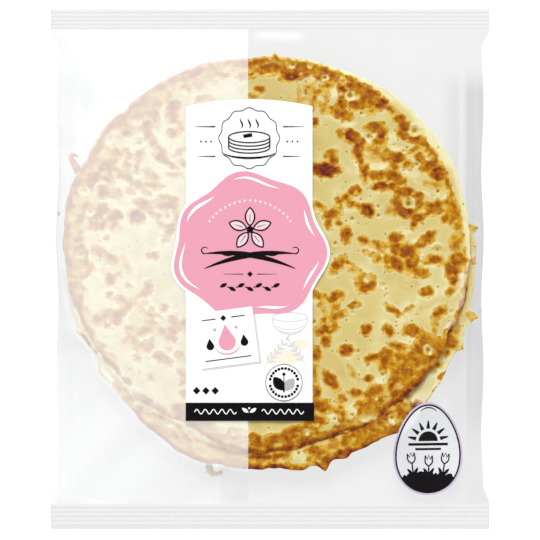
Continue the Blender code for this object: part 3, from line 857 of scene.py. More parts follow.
SPOTS_RIGHT = (
    (32.9, 15, 4.2, 6.6, 0, 1.0), (40.3, 12.6, 3.2, 2.9, 0, 0.8), (46.8, 10.4, 6.5, 2.6, -10, 0.45),
    (46.6, 4.2, 4.2, 3, 0, 0.5), (42.9, 6.7, 3.4, 1.4, -25, 0.4), (48.4, 6.6, 2.2, 1.4, 0, 0.5),
    (54.4, 13.4, 5.6, 4.4, 0, 0.95), (54.4, 8.8, 4.6, 6.5, 0, 0.75), (59.4, 7.4, 8.5, 6, 0, 0.75),
    (51.2, 4.3, 4.2, 4, 0, 0.8), (54.9, 2.2, 9, 4.4, -30, 0.8), (61, 2.6, 5.5, 6, 0, 0.75),
    (63.2, -1, 8.5, 4.2, -10, 0.5), (51.4, 0.6, 2.6, 2, 0, 0.6), (57, 0.6, 3.4, 2.4, 0, 0.7),
    (67.4, 12.9, 8, 3.6, 38, 0.95), (64, 10.4, 3, 2, 0, 0.7), (71.2, 4.2, 6.8, 3.8, -12, 0.85),
    (67, 3, 3, 1.6, 0, 0.6), (72.6, 8.2, 4.4, 2.4, 0, 0.2), (80.3, 11.5, 4.6, 7, 0, 0.55),
    (81.2, 4, 7, 6, 0, 0.8), (79.2, -0.2, 5.5, 4.4, 0, 0.85), (79.3, -4.9, 4, 5.4, 0, 0.85),
    (77.5, -9.9, 2.7, 2.5, 0, 0.6), (29.4, 2, 8, 3.8, 52, 0.9), (33, 2.9, 3.4, 1.8, -20, 0.7),
    (36.9, -0.6, 3.4, 1.8, -20, 0.35), (41.2, -3.9, 6.8, 3, 10, 0.7), (41.3, -8, 6.4, 4.4, 0, 0.9),
    (38.6, -6, 2.2, 4.6, 0, 0.7), (44.2, -6, 2.2, 4.6, 0, 0.7), (28.4, -12.2, 6.2, 3.8, 28, 0.95),
    (21, -11.8, 6.5, 3.4, -12, 0.5), (27.9, -16.5, 3.8, 3.8, 0, 0.45), (30.9, -19.4, 3.6, 1.8, 20, 0.7),
    (27.6, -21, 3.4, 6.6, -15, 0.5), (24, -26, 9, 4.4, 12, 0.85), (24, -31, 3.8, 5, 0, 0.9),
    (19.9, -36.6, 4, 5.6, 0, 0.75), (23.4, -21.6, 3.2, 1.8, 45, 0.7), (22.8, -17, 1.1, 4, 30, 0.5),
    (36.1, -15.5, 3.7, 2, 22, 0.85), (53, -17.8, 5.8, 2.1, -38, 0.85), (59.8, -17.3, 2.9, 1.5, 35, 0.4),
    (67.6, -9.8, 5.2, 3.8, 0, 0.85), (72.9, -18.8, 6.2, 3.3, 42, 0.8), (41.4, -25.9, 4.2, 4.4, 0, 0.95),
    (51.1, -26.4, 4.6, 2.8, -50, 0.9), (61.2, -26.6, 7, 4.4, -10, 0.9), (71, -23.6, 2.4, 5, 0, 0.45),
)
SPOTS_BELOW = (
    (32.7, -34.8, 5.9, 4.8, 0, 1.05), (44.2, -38.3, 5.4, 3, 18, 0.95), (50.2, -37.8, 6.5, 7, 0, 0.8),
    (56.5, -41, 15, 9, -10, 0.6), (63, -38.4, 10, 8, -15, 0.65), (70.6, -37, 6, 15, -35, 0.7),
    (63.4, -33.6, 2.8, 5.4, 0, 0.95), (55.2, -33.4, 7, 3, -15, 0.75), (69.4, -30.4, 11, 4, -25, 0.6),
    (57, -46.6, 11, 7, 20, 0.7), (64.4, -47.6, 10, 5, 40, 0.75), (52.3, -50, 3, 6, 0, 1.0),
    (54.4, -54.6, 8, 4.6, 35, 1.0), (45.2, -53.6, 9, 7, 35, 0.6), (40.6, -59.2, 10, 5.5, 20, 0.55),
    (47.8, -57.6, 7, 5, 35, 0.75), (37.2, -53.6, 5.2, 3, -10, 0.95), (42.6, -47.5, 3.1, 2.9, 0, 0.85),
    (31, -55.6, 3, 2.8, 0, 0.85), (26.4, -48.2, 8.6, 4.6, -50, 0.95), (19.4, -44, 2.2, 5.5, 0, 0.7),
    (26.4, -60.4, 7, 2.2, -8, 0.75), (54.4, -56.4, 7, 2.4, 38, 1.25), (-7, -73.4, 6, 4.5, 0, 0.75),
    (48.8, -42.4, 4, 4, 0, 0.65), (77.4, 0, 3.6, 6, 0, 0.8), (52.6, 35.4, 5, 3.4, 0, 0.85),
    (35.7, -44.4, 4.6, 1.5, -55, 0.25), (20.2, -53, 3.2, 5, 0, 0.85), (31.2, -63.4, 2.6, 7.4, 12, 0.7),
    (22, -59, 8, 6, 0, 0.8), (20, -66, 8, 5, 20, 0.7), (31.5, -68.2, 10, 3, 20, 0.7),
    (12.6, -70, 14, 5, 10, 0.7), (2, -73.6, 12, 5, 6, 0.75), (-6, -76, 10, 6, 0, 0.75),
    (-3, -77.2, 14, 3.2, -3, 1.25), (9, -76, 11, 3, 6, 1.2), (20, -73.6, 9, 2.6, 16, 1.15),
    (31.5, -70.2, 9, 2, 22, 1.0), (66.8, -33.4, 8, 5, -30, 0.9), (8, -72.4, 10, 3, 8, 0.95),
)
SPOTS_LEFT = (
    (-84.6, 27, 9, 5, 70, 0.9), (-78.7, 27.4, 5.4, 2.6, -5, 1.0), (-81.8, 23.4, 5, 3.6, -70, 1.15),
    (-88, 22.8, 5.4, 2.2, 95, 0.8), (-83.5, 18.6, 5.2, 3.4, 80, 1.2), (-86.5, 17.5, 6.4, 2, 85, 0.8),
    (-83.6, 12.8, 6, 5, 0, 0.9), (-87.6, 8, 11, 4.4, 92, 0.95), (-81.6, 9.4, 3.6, 3, 0, 0.9),
    (-79.6, 6.8, 4.2, 2.4, -75, 0.8), (-86.2, 2.5, 8, 3.2, -75, 0.85), (-83.8, 2.8, 3.8, 2, 45, 0.9),
    (-79, 1.6, 6.6, 3.2, -35, 1.05), (-77.8, 0.2, 3.4, 3, 0, 0.95), (-85.2, -2.4, 5.6, 4, -70, 1.05),
    (-81.5, -2.4, 4.4, 2.4, -15, 1.0), (-84.9, -6, 3.2, 2.6, 0, 0.9), (-84.6, -9.3, 5.2, 3.4, -85, 0.95),
    (-81.5, -8.8, 3, 1.6, 10, 0.9), (-72.4, 25.6, 5.2, 4.6, 20, 0.95), (-74.5, 22.6, 5, 3.6, -50, 1.1),
    (-74.3, 19, 7.2, 3.8, 8, 1.0), (-77.2, 21.6, 2.2, 1.6, 0, 0.8), (-67, 22.8, 7, 5.2, 10, 0.95),
    (-67, 19.8, 3.8, 3.2, -70, 0.9), (-68.2, 17.9, 2, 1.6, 0, 0.7), (-65.3, 17.8, 2.2, 1.8, 0, 0.3),
    (-57.4, 22.6, 7.2, 6.2, -5, 1.35), (-54.6, 27.8, 7.6, 4.6, -25, 0.9), (-51.2, 24.6, 5.4, 2, -50, 0.8),
    (-48.6, 22.9, 4, 2.2, -20, 0.75), (-46, 27.4, 8.8, 4.8, -12, 0.95), (-41.8, 27.6, 5.2, 4.6, -80, 1.1),
    (-46.5, 19.4, 3.6, 1.8, -35, 0.9), (-42.8, 17.6, 7.2, 4.2, 60, 0.95), (-39.9, 21.6, 8, 3.4, -70, 0.8),
    (-44.9, 13.3, 3.4, 2.2, 40, 0.8), (-73.6, 7.8, 5.8, 3.6, -18, 0.95), (-75.6, 9.2, 2.4, 2, 0, 0.9),
    (-69, 4.6, 5.6, 3.6, -28, 1.1), (-62.3, 3, 5.2, 2, -55, 0.45), (-51.5, 5.6, 2.6, 2.8, 0, 0.9),
    (-49.6, 5.6, 3, 3.6, 0, 0.95), (-70.3, 13.8, 1.6, 1.4, 0, 0.8), (-71.8, -0.9, 2.8, 1.8, 0, 0.3),
    (-65.7, -2.2, 2, 1.8, 0, 0.8), (-68.6, -4.4, 4.8, 4.6, 0, 0.85), (-61, -1.3, 1.3, 1.2, 0, 1.0),
    (-61.2, -7.1, 1.7, 1.4, 0, 0.7), (-52.5, -7.6, 4.8, 3, 80, 1.05), (-54, -10.3, 5.2, 3.4, 35, 1.0),
    (-69.4, -10.9, 2.4, 2.1, -30, 0.8), (-68.3, -13.4, 1.8, 1.6, 0, 0.3),
    (-63.6, -13.3, 5.2, 3.2, -30, 1.0), (-60.7, -15.2, 5.2, 2.6, 40, 0.95),
    (-58.4, -14.4, 3.8, 2.2, -15, 0.9), (-63.2, -18.2, 7, 3.8, 52, 1.0),
    (-66.4, -20.8, 6.6, 5.2, -60, 1.05), (-70.3, -19.4, 4.6, 3.6, 25, 0.95),
    (-74.3, -21.9, 4.6, 3.8, -60, 1.2), (-70.3, -24.3, 3.4, 1.8, -35, 1.0),
    (-54.3, -14.6, 2, 1.4, 15, 0.8), (-51.2, -17.3, 2.6, 2, 50, 0.9), (-55.6, -17.2, 2.6, 1.1, -20, 0.6),
    (-45.6, -16.8, 3.4, 2.9, -40, 0.9), (-51.8, -20, 3.6, 2.8, -20, 1.05),
    (-48.8, -19.7, 2.8, 1.1, -12, 0.8), (-51.2, -23.2, 5.8, 3.8, -45, 0.85),
    (-54.4, -26.7, 7.2, 3.6, 22, 1.25), (-59, -26.3, 3, 2, -75, 0.75),
    (-61.8, -25.7, 2.8, 2.2, -70, 0.85), (-60.3, -28, 3.4, 1.8, -70, 0.75),
    (-61.4, -30.3, 3.2, 2.4, 20, 0.8), (-46.4, -26.7, 5.2, 2.8, -10, 1.0),
    (-41.6, -22.2, 5.2, 3.4, -55, 1.0), (-41, -25.6, 6.6, 4.6, 35, 1.0), (-42.6, -29, 3.8, 3.2, -30, 1.1),
    (-41.2, -30.8, 2.2, 1.6, -70, 0.9), (-37.2, -23.5, 4.2, 3.4, 50, 0.9),
    (-36.4, -26.8, 3.2, 2, -70, 0.9), (-57.9, -32, 4.8, 2.8, -60, 0.95), (-55.8, -33, 4.2, 2.4, -10, 0.7),
    (-52.8, -33.2, 5, 4.6, 0, 0.95), (-51, -30.7, 2.6, 1.1, 80, 0.6), (-57.3, -38.2, 3.4, 2.9, -60, 1.15),
    (-47.4, -37.7, 5.2, 4.6, -40, 1.3), (-44.6, -39.8, 5.6, 3.6, -20, 0.75),
    (-43.1, -34.8, 2.4, 2.1, 0, 0.5), (-39.3, -37.2, 3.6, 3.2, 50, 0.95),
    (-36.8, -38.6, 3.2, 2, -30, 0.8), (-51.5, -46.5, 3.2, 2.7, -70, 0.85),
    (-38, -45, 3.8, 2.6, -40, 0.85), (-36.2, -45.6, 3.8, 2, 85, 1.0), (-37.2, -49, 3.2, 2.6, 60, 1.0),
    (-37.4, -54, 3.8, 3.4, -30, 1.05), (-83.2, -17.2, 6.8, 3.2, -68, 1.0), (-82, -21.4, 2.4, 1.8, 0, 1.4),
    (-82.3, -23, 3.2, 2.2, -60, 0.9), (-78.2, -27.2, 8, 3.2, -55, 1.05),
    (-74.8, -32.6, 5.4, 2.4, -65, 0.6), (-72.4, -33.2, 3, 2.2, 20, 0.8), (-72, -37.6, 8, 3.2, -58, 1.1),
    (-67.4, -42.6, 8.8, 3.6, -57, 1.15), (-62.2, -48, 4.4, 2.6, -35, 1.0),
    (-68.9, -37.2, 3.2, 1.6, -30, 0.85), (-53.6, -56.7, 8.4, 3.6, -35, 1.0), (-47, -61, 8.4, 3, -42, 1.0),
    (-39, -61.5, 8, 6, 80, 1.05), (-33, -67.4, 5, 3.4, -30, 1.1), (-28.6, -68.4, 10, 6, 0, 0.6),
    (-26, -73.4, 6, 2.6, -20, 1.25), (-22.4, -72.4, 5, 3, 20, 0.9), (-17.6, -69.8, 3, 3, 0, 0.6),
    (-14.2, -73.6, 9, 4, 0, 0.55), (-13.6, -70, 4, 2, 0, 0.5), (-14, -77.2, 10, 2.8, -6, 1.2),
    (-41.4, 70.4, 6.2, 5, 10, 1.3), (-42, 66, 6.5, 5, -60, 0.95), (-42, 58.8, 4.8, 3.4, 0, 0.85),
    (-38.5, 62, 4, 2.2, -60, 0.8), (-46.6, 73.6, 4, 5, 0, 0.9), (-50.5, 66.5, 7, 4, -40, 1.0),
    (-55.5, 71.5, 9, 5, 30, 0.9), (-57, 67.6, 8, 4, 30, 1.0), (-52.6, 62.5, 5, 4.4, 0, 0.95),
    (-62, 62.8, 9, 5, 30, 0.95), (-66.5, 62.4, 9, 3.4, 45, 0.85), (-62.4, 59, 8, 3.4, 0, 1.15),
    (-56, 60.6, 10, 2.4, 5, 0.95), (-70.6, 58.6, 7, 4, 50, 0.95), (-72.5, 54.6, 6, 2.6, 85, 0.95),
    (-52.6, 58, 6, 4, -60, 0.8), (-50.6, 54.4, 5, 3, -50, 0.7), (-47.4, 51.6, 6, 2.6, -35, 0.9),
    (-71.6, 50.6, 5, 4, 60, 1.1), (-70, 48, 8, 4, -10, 1.0), (-65.6, 50.4, 4.4, 2.2, -20, 1.0),
    (-75.4, 48.8, 5, 3, 40, 0.95), (-78.4, 46, 8, 4, 20, 0.95), (-71.6, 44.4, 8, 5, 0, 1.1),
    (-75, 40.8, 5.4, 4.4, -40, 1.2), (-82, 42, 5, 7, 0, 0.95), (-81.4, 38.4, 5, 5, 0, 0.95),
    (-69.6, 39.4, 5.6, 4, -60, 0.95), (-66.4, 42.6, 5.4, 2, -25, 0.95), (-64, 40.4, 4.4, 2, -20, 0.9),
    (-61.6, 44.4, 7, 2.4, -75, 0.95), (-61, 49.6, 5, 2.4, -60, 0.85), (-56.2, 49, 5.6, 3.2, 80, 0.95),
    (-57.4, 44.6, 3.6, 2, 80, 1.0), (-60.8, 39.6, 6.4, 2.6, -50, 1.0), (-57, 36.4, 7, 2.8, -25, 1.0),
    (-51.6, 40.8, 6.4, 3.2, -30, 0.85), (-51, 36, 8, 2.8, 0, 0.95), (-54, 33.8, 4, 1.6, -30, 0.7),
    (-46.6, 48.2, 7.4, 3.6, -32, 1.2), (-43.4, 45.4, 5, 2, -35, 0.9), (-37.6, 45.6, 4, 2.4, -40, 0.9),
    (-38.8, 50.6, 5, 2.4, 30, 0.6), (-41.4, 40.8, 5, 2, 0, 0.8), (-71.8, 33.4, 5.4, 5.4, -60, 1.25),
    (-66.4, 32.8, 5, 4, -35, 0.6), (-60.2, 33.4, 2.6, 2.8, 20, 0.85), (-84.4, 32.6, 4, 7, 0, 0.9),
    (-43.6, 30.4, 8, 2.6, -12, 1.15), (-29, 86.6, 10, 6, 28, 0.85), (-21, 84.6, 6.5, 4, -20, 1.1),
    (-37, 82.4, 6.5, 4, 10, 1.0), (-34, 80.4, 3, 2.2, 0, 0.8), (-43, 79, 6, 4, 30, 0.85),
    (-38, 79, 3, 2, -45, 0.4), (-25.4, 82.4, 6, 1.6, -50, 0.45), (-15.4, 88, 8, 4.4, 0, 0.8),
    (-12, 84, 4.4, 4.4, 0, 0.75), (-28.4, 73.2, 6.4, 3, 8, 0.7), (-5, 88.6, 10, 4.4, 0, 0.9),
    (-9.6, 84, 5, 3, 0, 0.8), (-4.4, 77.6, 3.2, 3, 0, 0.8), (-7.8, 74.4, 4, 2.2, -10, 0.35),
)
SPOTS_UNDER_THE_TOP = (
    (57.5, -61.4, 8.5, 7, -60, 0.6), (54.6, -69, 8, 3.6, 25, 0.85), (48, -67.2, 15, 5, 28, 0.55),
    (46, -70.6, 10, 5, 22, 0.65), (37.6, -71.6, 9, 4.6, 24, 0.6), (50, -63.4, 7, 3, 30, 1.0),
    (33.4, -71.4, 5, 2.8, 25, 0.55), (41.4, -67.2, 10, 3.4, 28, 0.6), (49, -61.6, 9, 3.4, 38, 0.6),
    (55.2, -56.8, 6, 3, 45, 0.5), (42, -72.6, 7, 6, 0, 0.6), (38.2, -75.2, 6, 3, 20, 0.6),
    (32.2, -74.4, 2.6, 5.6, -15, 0.95), (32, -79.6, 7, 4.4, 10, 1.15), (27.6, -75, 3.8, 5, 0, 0.45),
    (20, -78.6, 11, 5, 12, 0.6), (25, -83, 6, 6, 40, 0.95), (23.4, -86.4, 4, 2.6, 0, 1.0),
    (7.7, -79.4, 3, 4.8, 0, 0.42), (10, -86, 12, 2.6, -8, 0.6), (14.2, -86.6, 4, 2, 10, 0.4),
    (1.9, -81.4, 1.6, 6.4, -15, 1.0), (-2, -84.6, 9, 3, -4, 1.0), (4.4, -80.6, 6, 2.2, 8, 0.85),
    (-4, -81.4, 11, 3.6, 0, 1.15), (-4, -82, 9, 3.4, 0, 0.55), (-6.6, -84.4, 8, 3.4, 0, 1.1),
    (-74.6, -43.4, 1.6, 2.8, 0, 0.6), (-73, -46.2, 5, 1.6, -35, 0.4), (-65.2, -51.4, 5, 3, -50, 0.75),
    (-63.4, -53, 9, 2.8, -50, 0.55), (-61, -56.2, 4, 3, -40, 0.85), (-55.8, -61.4, 6, 3.4, -40, 0.9),
    (-50.8, -64.4, 8, 5, -30, 0.6), (-46.6, -65.4, 6, 3.4, -40, 0.85), (-48.6, -67.8, 3, 2.4, 0, 1.1),
    (-40.6, -69, 4, 3, 0, 0.45), (-44, -70.4, 7, 3, -35, 1.0), (-40, -74, 12, 4, -32, 0.5),
    (-34.6, -79.2, 8, 3, -28, 1.2), (-25, -78, 8, 6, 0, 0.5), (-19.8, -78, 3, 4, 0, 0.95),
    (-13, -81, 10, 4, -8, 0.6),
)
SPOTS_ON_THE_PALE_LAYER = (
    (78.2, -31.2, 5.6, 6.6, 20, 0.8), (80.2, -25.6, 3, 5, 0, 0.35), (77.2, -26, 3, 3.6, -30, 1.2),
    (76.3, -36, 2, 2.4, 0, 0.9), (72.6, -41.2, 3, 2.4, 0, 0.85), (69.9, -43.4, 2.6, 1.8, 0, 0.3),
    (73.9, -46.3, 1.5, 1.7, 0, 0.9), (83.9, -33.9, 1.8, 1.1, 30, 0.8), (59.4, -54.6, 2.2, 3.6, 0, 0.35),
    (86.8, 18.8, 1.2, 0.8, 20, 0.7), (87.7, 17.1, 1.7, 0.8, -30, 0.4), (89.4, 18.0, 1.4, 0.9, 0, 0.8),
    (86.7, -19.4, 1.3, 0.9, 0, 0.4), (88.0, -21.4, 2.0, 0.8, 15, 0.8), (88.8, -19.8, 1.3, 0.8, -40, 0.4),
    (90.0, -21.2, 1.2, 0.8, 0, 0.9), (88.3, 3.9, 1.2, 0.8, 40, 0.9), (63.4, -59.4, 3.4, 5, -40, 1.1),
    (82.8, -10.9, 1.6, 1.5, 0, 1.0), (82.6, -8.6, 2.2, 5.4, -6, 0.5), (83.4, -4.4, 1.4, 3.2, 0, 0.7),
)
SPOT_CLUSTERS = 30
CLUSTER_SEED = 5
CLUSTER_SPREAD = 3.2


def scattered_spots():
    """Clusters of spots for the lowest crepe's middle strip, where the label hides the top one's."""
    draw = np.random.default_rng(CLUSTER_SEED)
    spots = []
    for _ in range(SPOT_CLUSTERS):
        middle_x, middle_y = draw.uniform(-24, 15), draw.uniform(-62, 72)
        for _ in range(draw.integers(2, 7)):
            away_x, away_y = draw.normal(0, CLUSTER_SPREAD, 2)
            length, width = draw.uniform(2.4, 7.0), draw.uniform(2.0, 4.0)
            tilt, darkness = draw.uniform(-60, 60), draw.uniform(0.5, 1.1)
            spots.append((middle_x + away_x, middle_y + away_y, length, width, tilt, darkness))
    return tuple(spots)


SPOTS = {
    8: SPOTS_ABOVE + SPOTS_BY_THE_UPPER_RIM + SPOTS_RIGHT + SPOTS_BELOW + SPOTS_LEFT,
    7: SPOTS_UNDER_THE_TOP,
    6: SPOTS_ON_THE_PALE_LAYER,
    1: SPOTS_ABOVE + SPOTS_RIGHT + SPOTS_BELOW + SPOTS_LEFT + scattered_spots(),
}

# Bays in the browning where the batter stayed pale: ovals as above, each with how creamy it is. Those
# below 0 only deepen the batter's colour.
PALE_BAYS = {
    8: (
        (35.2, -61.0, 5.6, 9, 10, 0.4), (41.6, -64.8, 13, 3.8, 17, 0.8),
        (26.2, -63.8, 6.2, 4.2, -10, 0.6), (20.2, -67.2, 4.4, 2.2, 0, 0.5), (16, -70.2, 3.4, 3, 0, 0.6),
        (68.4, -35, 5.6, 4.4, -20, 0.8), (66, -41.5, 3.8, 2.2, -30, 0.3), (60, -34.6, 3.2, 2.4, 0, 0.7),
        (45.6, -56, 3.4, 3.6, 0, 0.7), (53.4, -38.4, 2.6, 2, 0, 0.6), (82.8, -17, 2.6, 6, -14, 0.8),
        (54.8, -50.6, 2.2, 3.4, 0, 0.4), (48.6, -48, 6, 3.6, -20, 0.6), (76.2, -26.4, 2.4, 5.4, -12, 0.9),
        (61.2, -31.4, 9, 2, -5, 0.8), (47.4, -32.6, 9, 3, 0, 0.4), (42.4, -44.6, 3, 2, 0, 0.5),
        (58.4, -20.8, 10, 5, 20, 0.3), (47.2, 44.4, 12, 3.2, 8, 1.0), (61.6, 40.4, 11, 4.8, -42, 0.9),
        (70.6, 32.2, 12, 4, -8, 1.0), (68.2, 47.6, 6, 3, 20, 0.8), (66.4, 25, 3.2, 2.4, 0, 0.7),
        (57.6, 17, 8, 5, 0, 0.5), (62.8, 12, 5, 2.6, 0, 0.6), (64.6, 5.4, 4.2, 3.2, 0, 0.7),
        (33.6, 25, 7, 2.4, 10, 0.8), (34.8, 62.6, 9, 2.4, 8, 0.8), (42.8, 54.8, 4.2, 3.4, 0, 0.7),
        (53, 56.4, 5, 10, 0, 0.4), (49.4, 66.6, 7, 3.6, 20, 0.4), (27.2, 74.4, 5, 6, 0, 0.4),
        (9.6, 87.6, 4.2, 3.2, 0, 0.4), (17.4, 87.4, 2, 3.4, 0, 0.6), (23.6, 82, 4.6, 4, 0, 0.8),
        (31.6, 80.9, 2.4, 2, 0, 0.4), (82.6, -2.6, 2.4, 4, 0, 0.7), (48.2, 6.4, 4, 3, 0, 0.4),
        (36, 43.4, 7, 6, 0, 0.3), (55.4, 52, 5, 2.6, 20, 0.6), (66, -13.6, 12, 8, 0, -0.4),
        (59.6, -6, 10, 7, 0, -0.5), (34, 6.6, 6, 3, 20, 0.3),
    ),
    7: (
        (13.2, -80.6, 8.4, 6.2, -10, 0.8), (16.4, -84, 7, 2.2, -12, 0.8),
        (24.2, -75.4, 5.4, 2.4, 25, 0.6), (36.2, -73.8, 4, 2.2, 10, 0.4), (48.6, -68.8, 3.6, 2, -10, 0.4),
        (52.8, -65.8, 5.4, 4, 10, 0.8), (61, -58.4, 2.4, 6, -20, 0.8), (31, -71.6, 5, 1.6, 25, 0.5),
    ),
}

# How far in from its edge the top crepe is bare, in millimetres, by the angle in degrees
BARE_LIP = (
    (-180, 0.2), (-7, 0.2), (-3, 1.2), (2, 2.2), (8, 3.2), (16, 3.6), (24, 4.6), (32, 4.6), (52, 4.4),
    (62, 2.2), (90, 1.2), (110, 0.3), (180, 0.2),
)

# How far outside a spot its depth is still told, and how strongly the spots' darkness colours them
SPOT_ROOM = 3.0
SPOT_COLOURING = 0.74

# Burst bubbles on the upper two crepes: x, y and radius in millimetres, and how dark the hole is
LOWER_CRATERS = (
    (52.6, -64.2, 1.8, 0.8), (12.4, -79.4, 1.3, 0.9), (-38.7, -70.4, 1.3, 0.5), (-52.2, -60.4, 1.8, 0.2),
    (-42.4, -67.4, 1.9, 0.2), (-33.8, -71.0, 1.8, 0.3),
)
CRATERS = (
    (34.5, 74.8, 2.3, 1.0), (62.3, 59.6, 2.5, 0.6), (59.7, 28.2, 2.2, 0.9), (29.2, 28.3, 1.3, 0.9),
    (78.5, 8.3, 1.2, 1.3), (42.6, 57.2, 2.0, 0.7), (68.1, -34.9, 2.1, 1.0), (15.5, 75.7, 1.5, 0.7),
    (9.8, 88.0, 1.5, 0.5), (39.3, 67.2, 1.2, 1.2), (34.4, 68.6, 1.0, 1.0), (41.8, -4.1, 1.6, 0.0),
    (53.4, 53.8, 0.8, 1.0), (23.8, 82.6, 1.6, 0.8), (17.4, 88.0, 1.5, 0.6), (48.6, -6.9, 1.6, 0.2),
    (31.6, 80.7, 1.3, 0.3), (63.2, 45.2, 1.6, 0.7), (67.6, 50.6, 1.1, 1.0), (35.4, -62.8, 1.2, 0.9),
    (52.0, -48.0, 1.3, 0.7), (46.6, 27.0, 1.2, 0.5), (35.4, 21.7, 1.4, 0.6), (51.0, 37.6, 1.0, 0.9),
    (57.6, 51.0, 1.1, 0.6), (72.2, 8.4, 2.2, 0.4), (50.3, -10.8, 0.9, 0.6), (56.4, 15.8, 0.9, 0.5),
    (21.8, -24.0, 0.9, 0.4), (28.0, -64.6, 1.2, 0.6), (40.4, -57.2, 1.1, 0.3), (48.6, -45.4, 1.2, 0.9),
    (16.0, -70.2, 1.6, 0.2), (-77.4, 24.6, 2.0, 0.8), (-71.6, 23.4, 1.2, 0.7), (-44.2, 22.6, 2.8, 0.9),
    (-81.7, 6.2, 2.1, 0.8), (-83.0, 0.2, 1.3, 0.5), (-83.8, 11.2, 1.1, 0.5), (-85.0, 22.5, 1.7, 0.2),
    (-68.4, 55.2, 3.2, 0.3), (-56.2, 54.4, 2.6, 0.9), (-57.4, 41.0, 2.2, 0.6), (-57.6, 63.6, 2.4, 0.2),
    (-80.2, 34.0, 2.6, 0.7), (-48.6, 26.6, 1.4, 0.5), (-23.4, 88.4, 1.4, 0.1), (-51.4, 38.6, 1.3, 0.6),
    (-78.4, 42.8, 1.1, 0.7), (-20.4, -69.4, 1.7, 0.2), (-15.5, -70.9, 1.2, 0.4), (-11.2, -71.2, 1.0, 0.4),
)

# Small bubbles at random places: how many a whole face has, and how far out they reach
BUBBLE_COUNT = 200
BUBBLE_SEED = 11
BUBBLES_REACH = 86

# How wide a crepe's browned rim is, in millimetres, by the angle in degrees
BROWNED_RIMS = {
    8: (
        (-180, 7), (-168, 5), (-158, 2), (-150, 0.2), (-129, 0.2), (-122, 1.5), (-116, 3), (-108, 5.5),
        (-97, 6), (-90, 5), (-70, 4.5), (-50, 5), (-40, 4.5), (-28, 3), (-23, 1), (-19, 0.7), (-8, 0.7),
        (-3, 1), (4, 2), (12, 2.5), (20, 2.5), (35, 2.5), (50, 2), (62, 4), (75, 5), (90, 6), (110, 7),
        (130, 9), (150, 9), (180, 7),
    ),
    7: (
        (-180, -1), (-165, -1), (-158, 1), (-150, -0.5), (-138, -0.5), (-134, 1.5), (-129, 6),
        (-122, 8.5), (-112, 9.5), (-104, 8), (-92, 5.5), (-88, 3), (-84, 1.4), (-77, 2.8), (-60, 3),
        (-49, 2), (-45, -1), (-20, -1), (-17, 0.7), (-4, 0.7), (0, -1), (180, -1),
    ),
    6: (
        (-180, 1), (-60, 1), (-50, 3), (-44, 1), (-41, -0.3), (-27, -0.4), (-24, -2), (60, -2), (120, 1),
        (180, 1),
    ),
}
HIDDEN_RIM = ((-180, 2), (-90, 3), (0, 0), (90, 0.5), (180, 2))
DEEPEST_RIM = 2.4

# Where the milky print starts to whiten the crepes, to the left of this x, and over what width
MILKY_START = -7.0
MILKY_BLEND = 5.0

# Angles below the stack's right end, in radians: where painted warm shade lies on the crepes under the top
# one, where painted light lifts the shade on the pale layer, where rolled rims show their underside with
# painted shade, where the edges lie close together, and where the batter is deeper in colour
WARM_SHADE_ANGLE = -0.35
PALE_LAYER_PAINTED_LIGHT_ANGLE = -0.4
UNDERSIDE_AND_SHADE_ANGLE = -0.5
CLOSE_ANGLE = -0.86
DEEPER_ANGLE = -0.9

# How dark the painted warm shade and the painted brown shadow beside the next crepe's edge are, and the
# lowest relief
WARM_SHADE_DARKNESS = 0.12
EDGE_SHADOW_DARKNESS = 0.95
DEEPEST_DENT = -0.85


class Face:
    """A crepe's face: its points in millimetres, and where on the crepe each of them lies."""

    def __init__(self, number, x, y):
        self.number = number
        self.is_top = number == CREPE_COUNT
        self.x, self.y = x, y
        self.radius, self.angle = polar(x * MM, y * MM)
        self.inwards = self.inside(number)
        self.milky = smooth((MILKY_START - x) / MILKY_BLEND)

    def inside(self, number):
        """How far inside a crepe's edge the points are, for this or another crepe."""
        return (reach_at(EDGE_REACHES[number], self.angle) - self.radius) / MM

    def by_angle(self, table):
        """The values at the points from a table of angles in degrees and values."""
        return np.interp(np.degrees(self.angle), *zip(*table))

    def noise(self, cell, seed):
        return noise(self.x, self.y, cell, 100 * self.number + seed)

    def layered_noise(self, cell, seed, layers):
        return layered_noise(self.x, self.y, cell, 100 * self.number + seed, layers)


def ovals_on(ovals, u, v):
    """For each oval: the points near it, how far inside it they are, and the oval's last value."""
    for middle_x, middle_y, length, width, tilt, value in ovals:
        room = max(length, width) / 2 + SPOT_ROOM
        near = np.flatnonzero((np.abs(u - middle_x) < room) & (np.abs(v - middle_y) < room))
        cos, sin = math.cos(math.radians(tilt)), math.sin(math.radians(tilt))
        away_x, away_y = u[near] - middle_x, v[near] - middle_y
        along, aside = away_x * cos + away_y * sin, away_y * cos - away_x * sin
        reach = np.hypot(along / (length / 2), aside / (width / 2))
        yield near, (1.0 - reach) * min(length, width) / 2, value


def lay_spots(spots, u, v, depth, dark):
    """Adds a crepe's spots to how deep inside a spot each point is, and to how dark it is."""
    for near, inside, darkness in ovals_on(spots, u, v):
        dark[near] = np.where(inside > depth[near] - 0.2, darkness, dark[near])
        depth[near] = np.maximum(depth[near], inside)


def clear_bays(bays, u, v, depth):
    """Takes the browning off a crepe's pale bays, and returns how creamy each point is."""
    cream = np.zeros_like(u)
    for near, inside, creaminess in ovals_on(bays, u, v):
        if creaminess > 0:
            depth[near] = np.minimum(depth[near], 0.2 - inside)
        cream[near] += creaminess * smooth((inside + 0.5) / 1.2) * (1.0 - cream[near])
    return cream


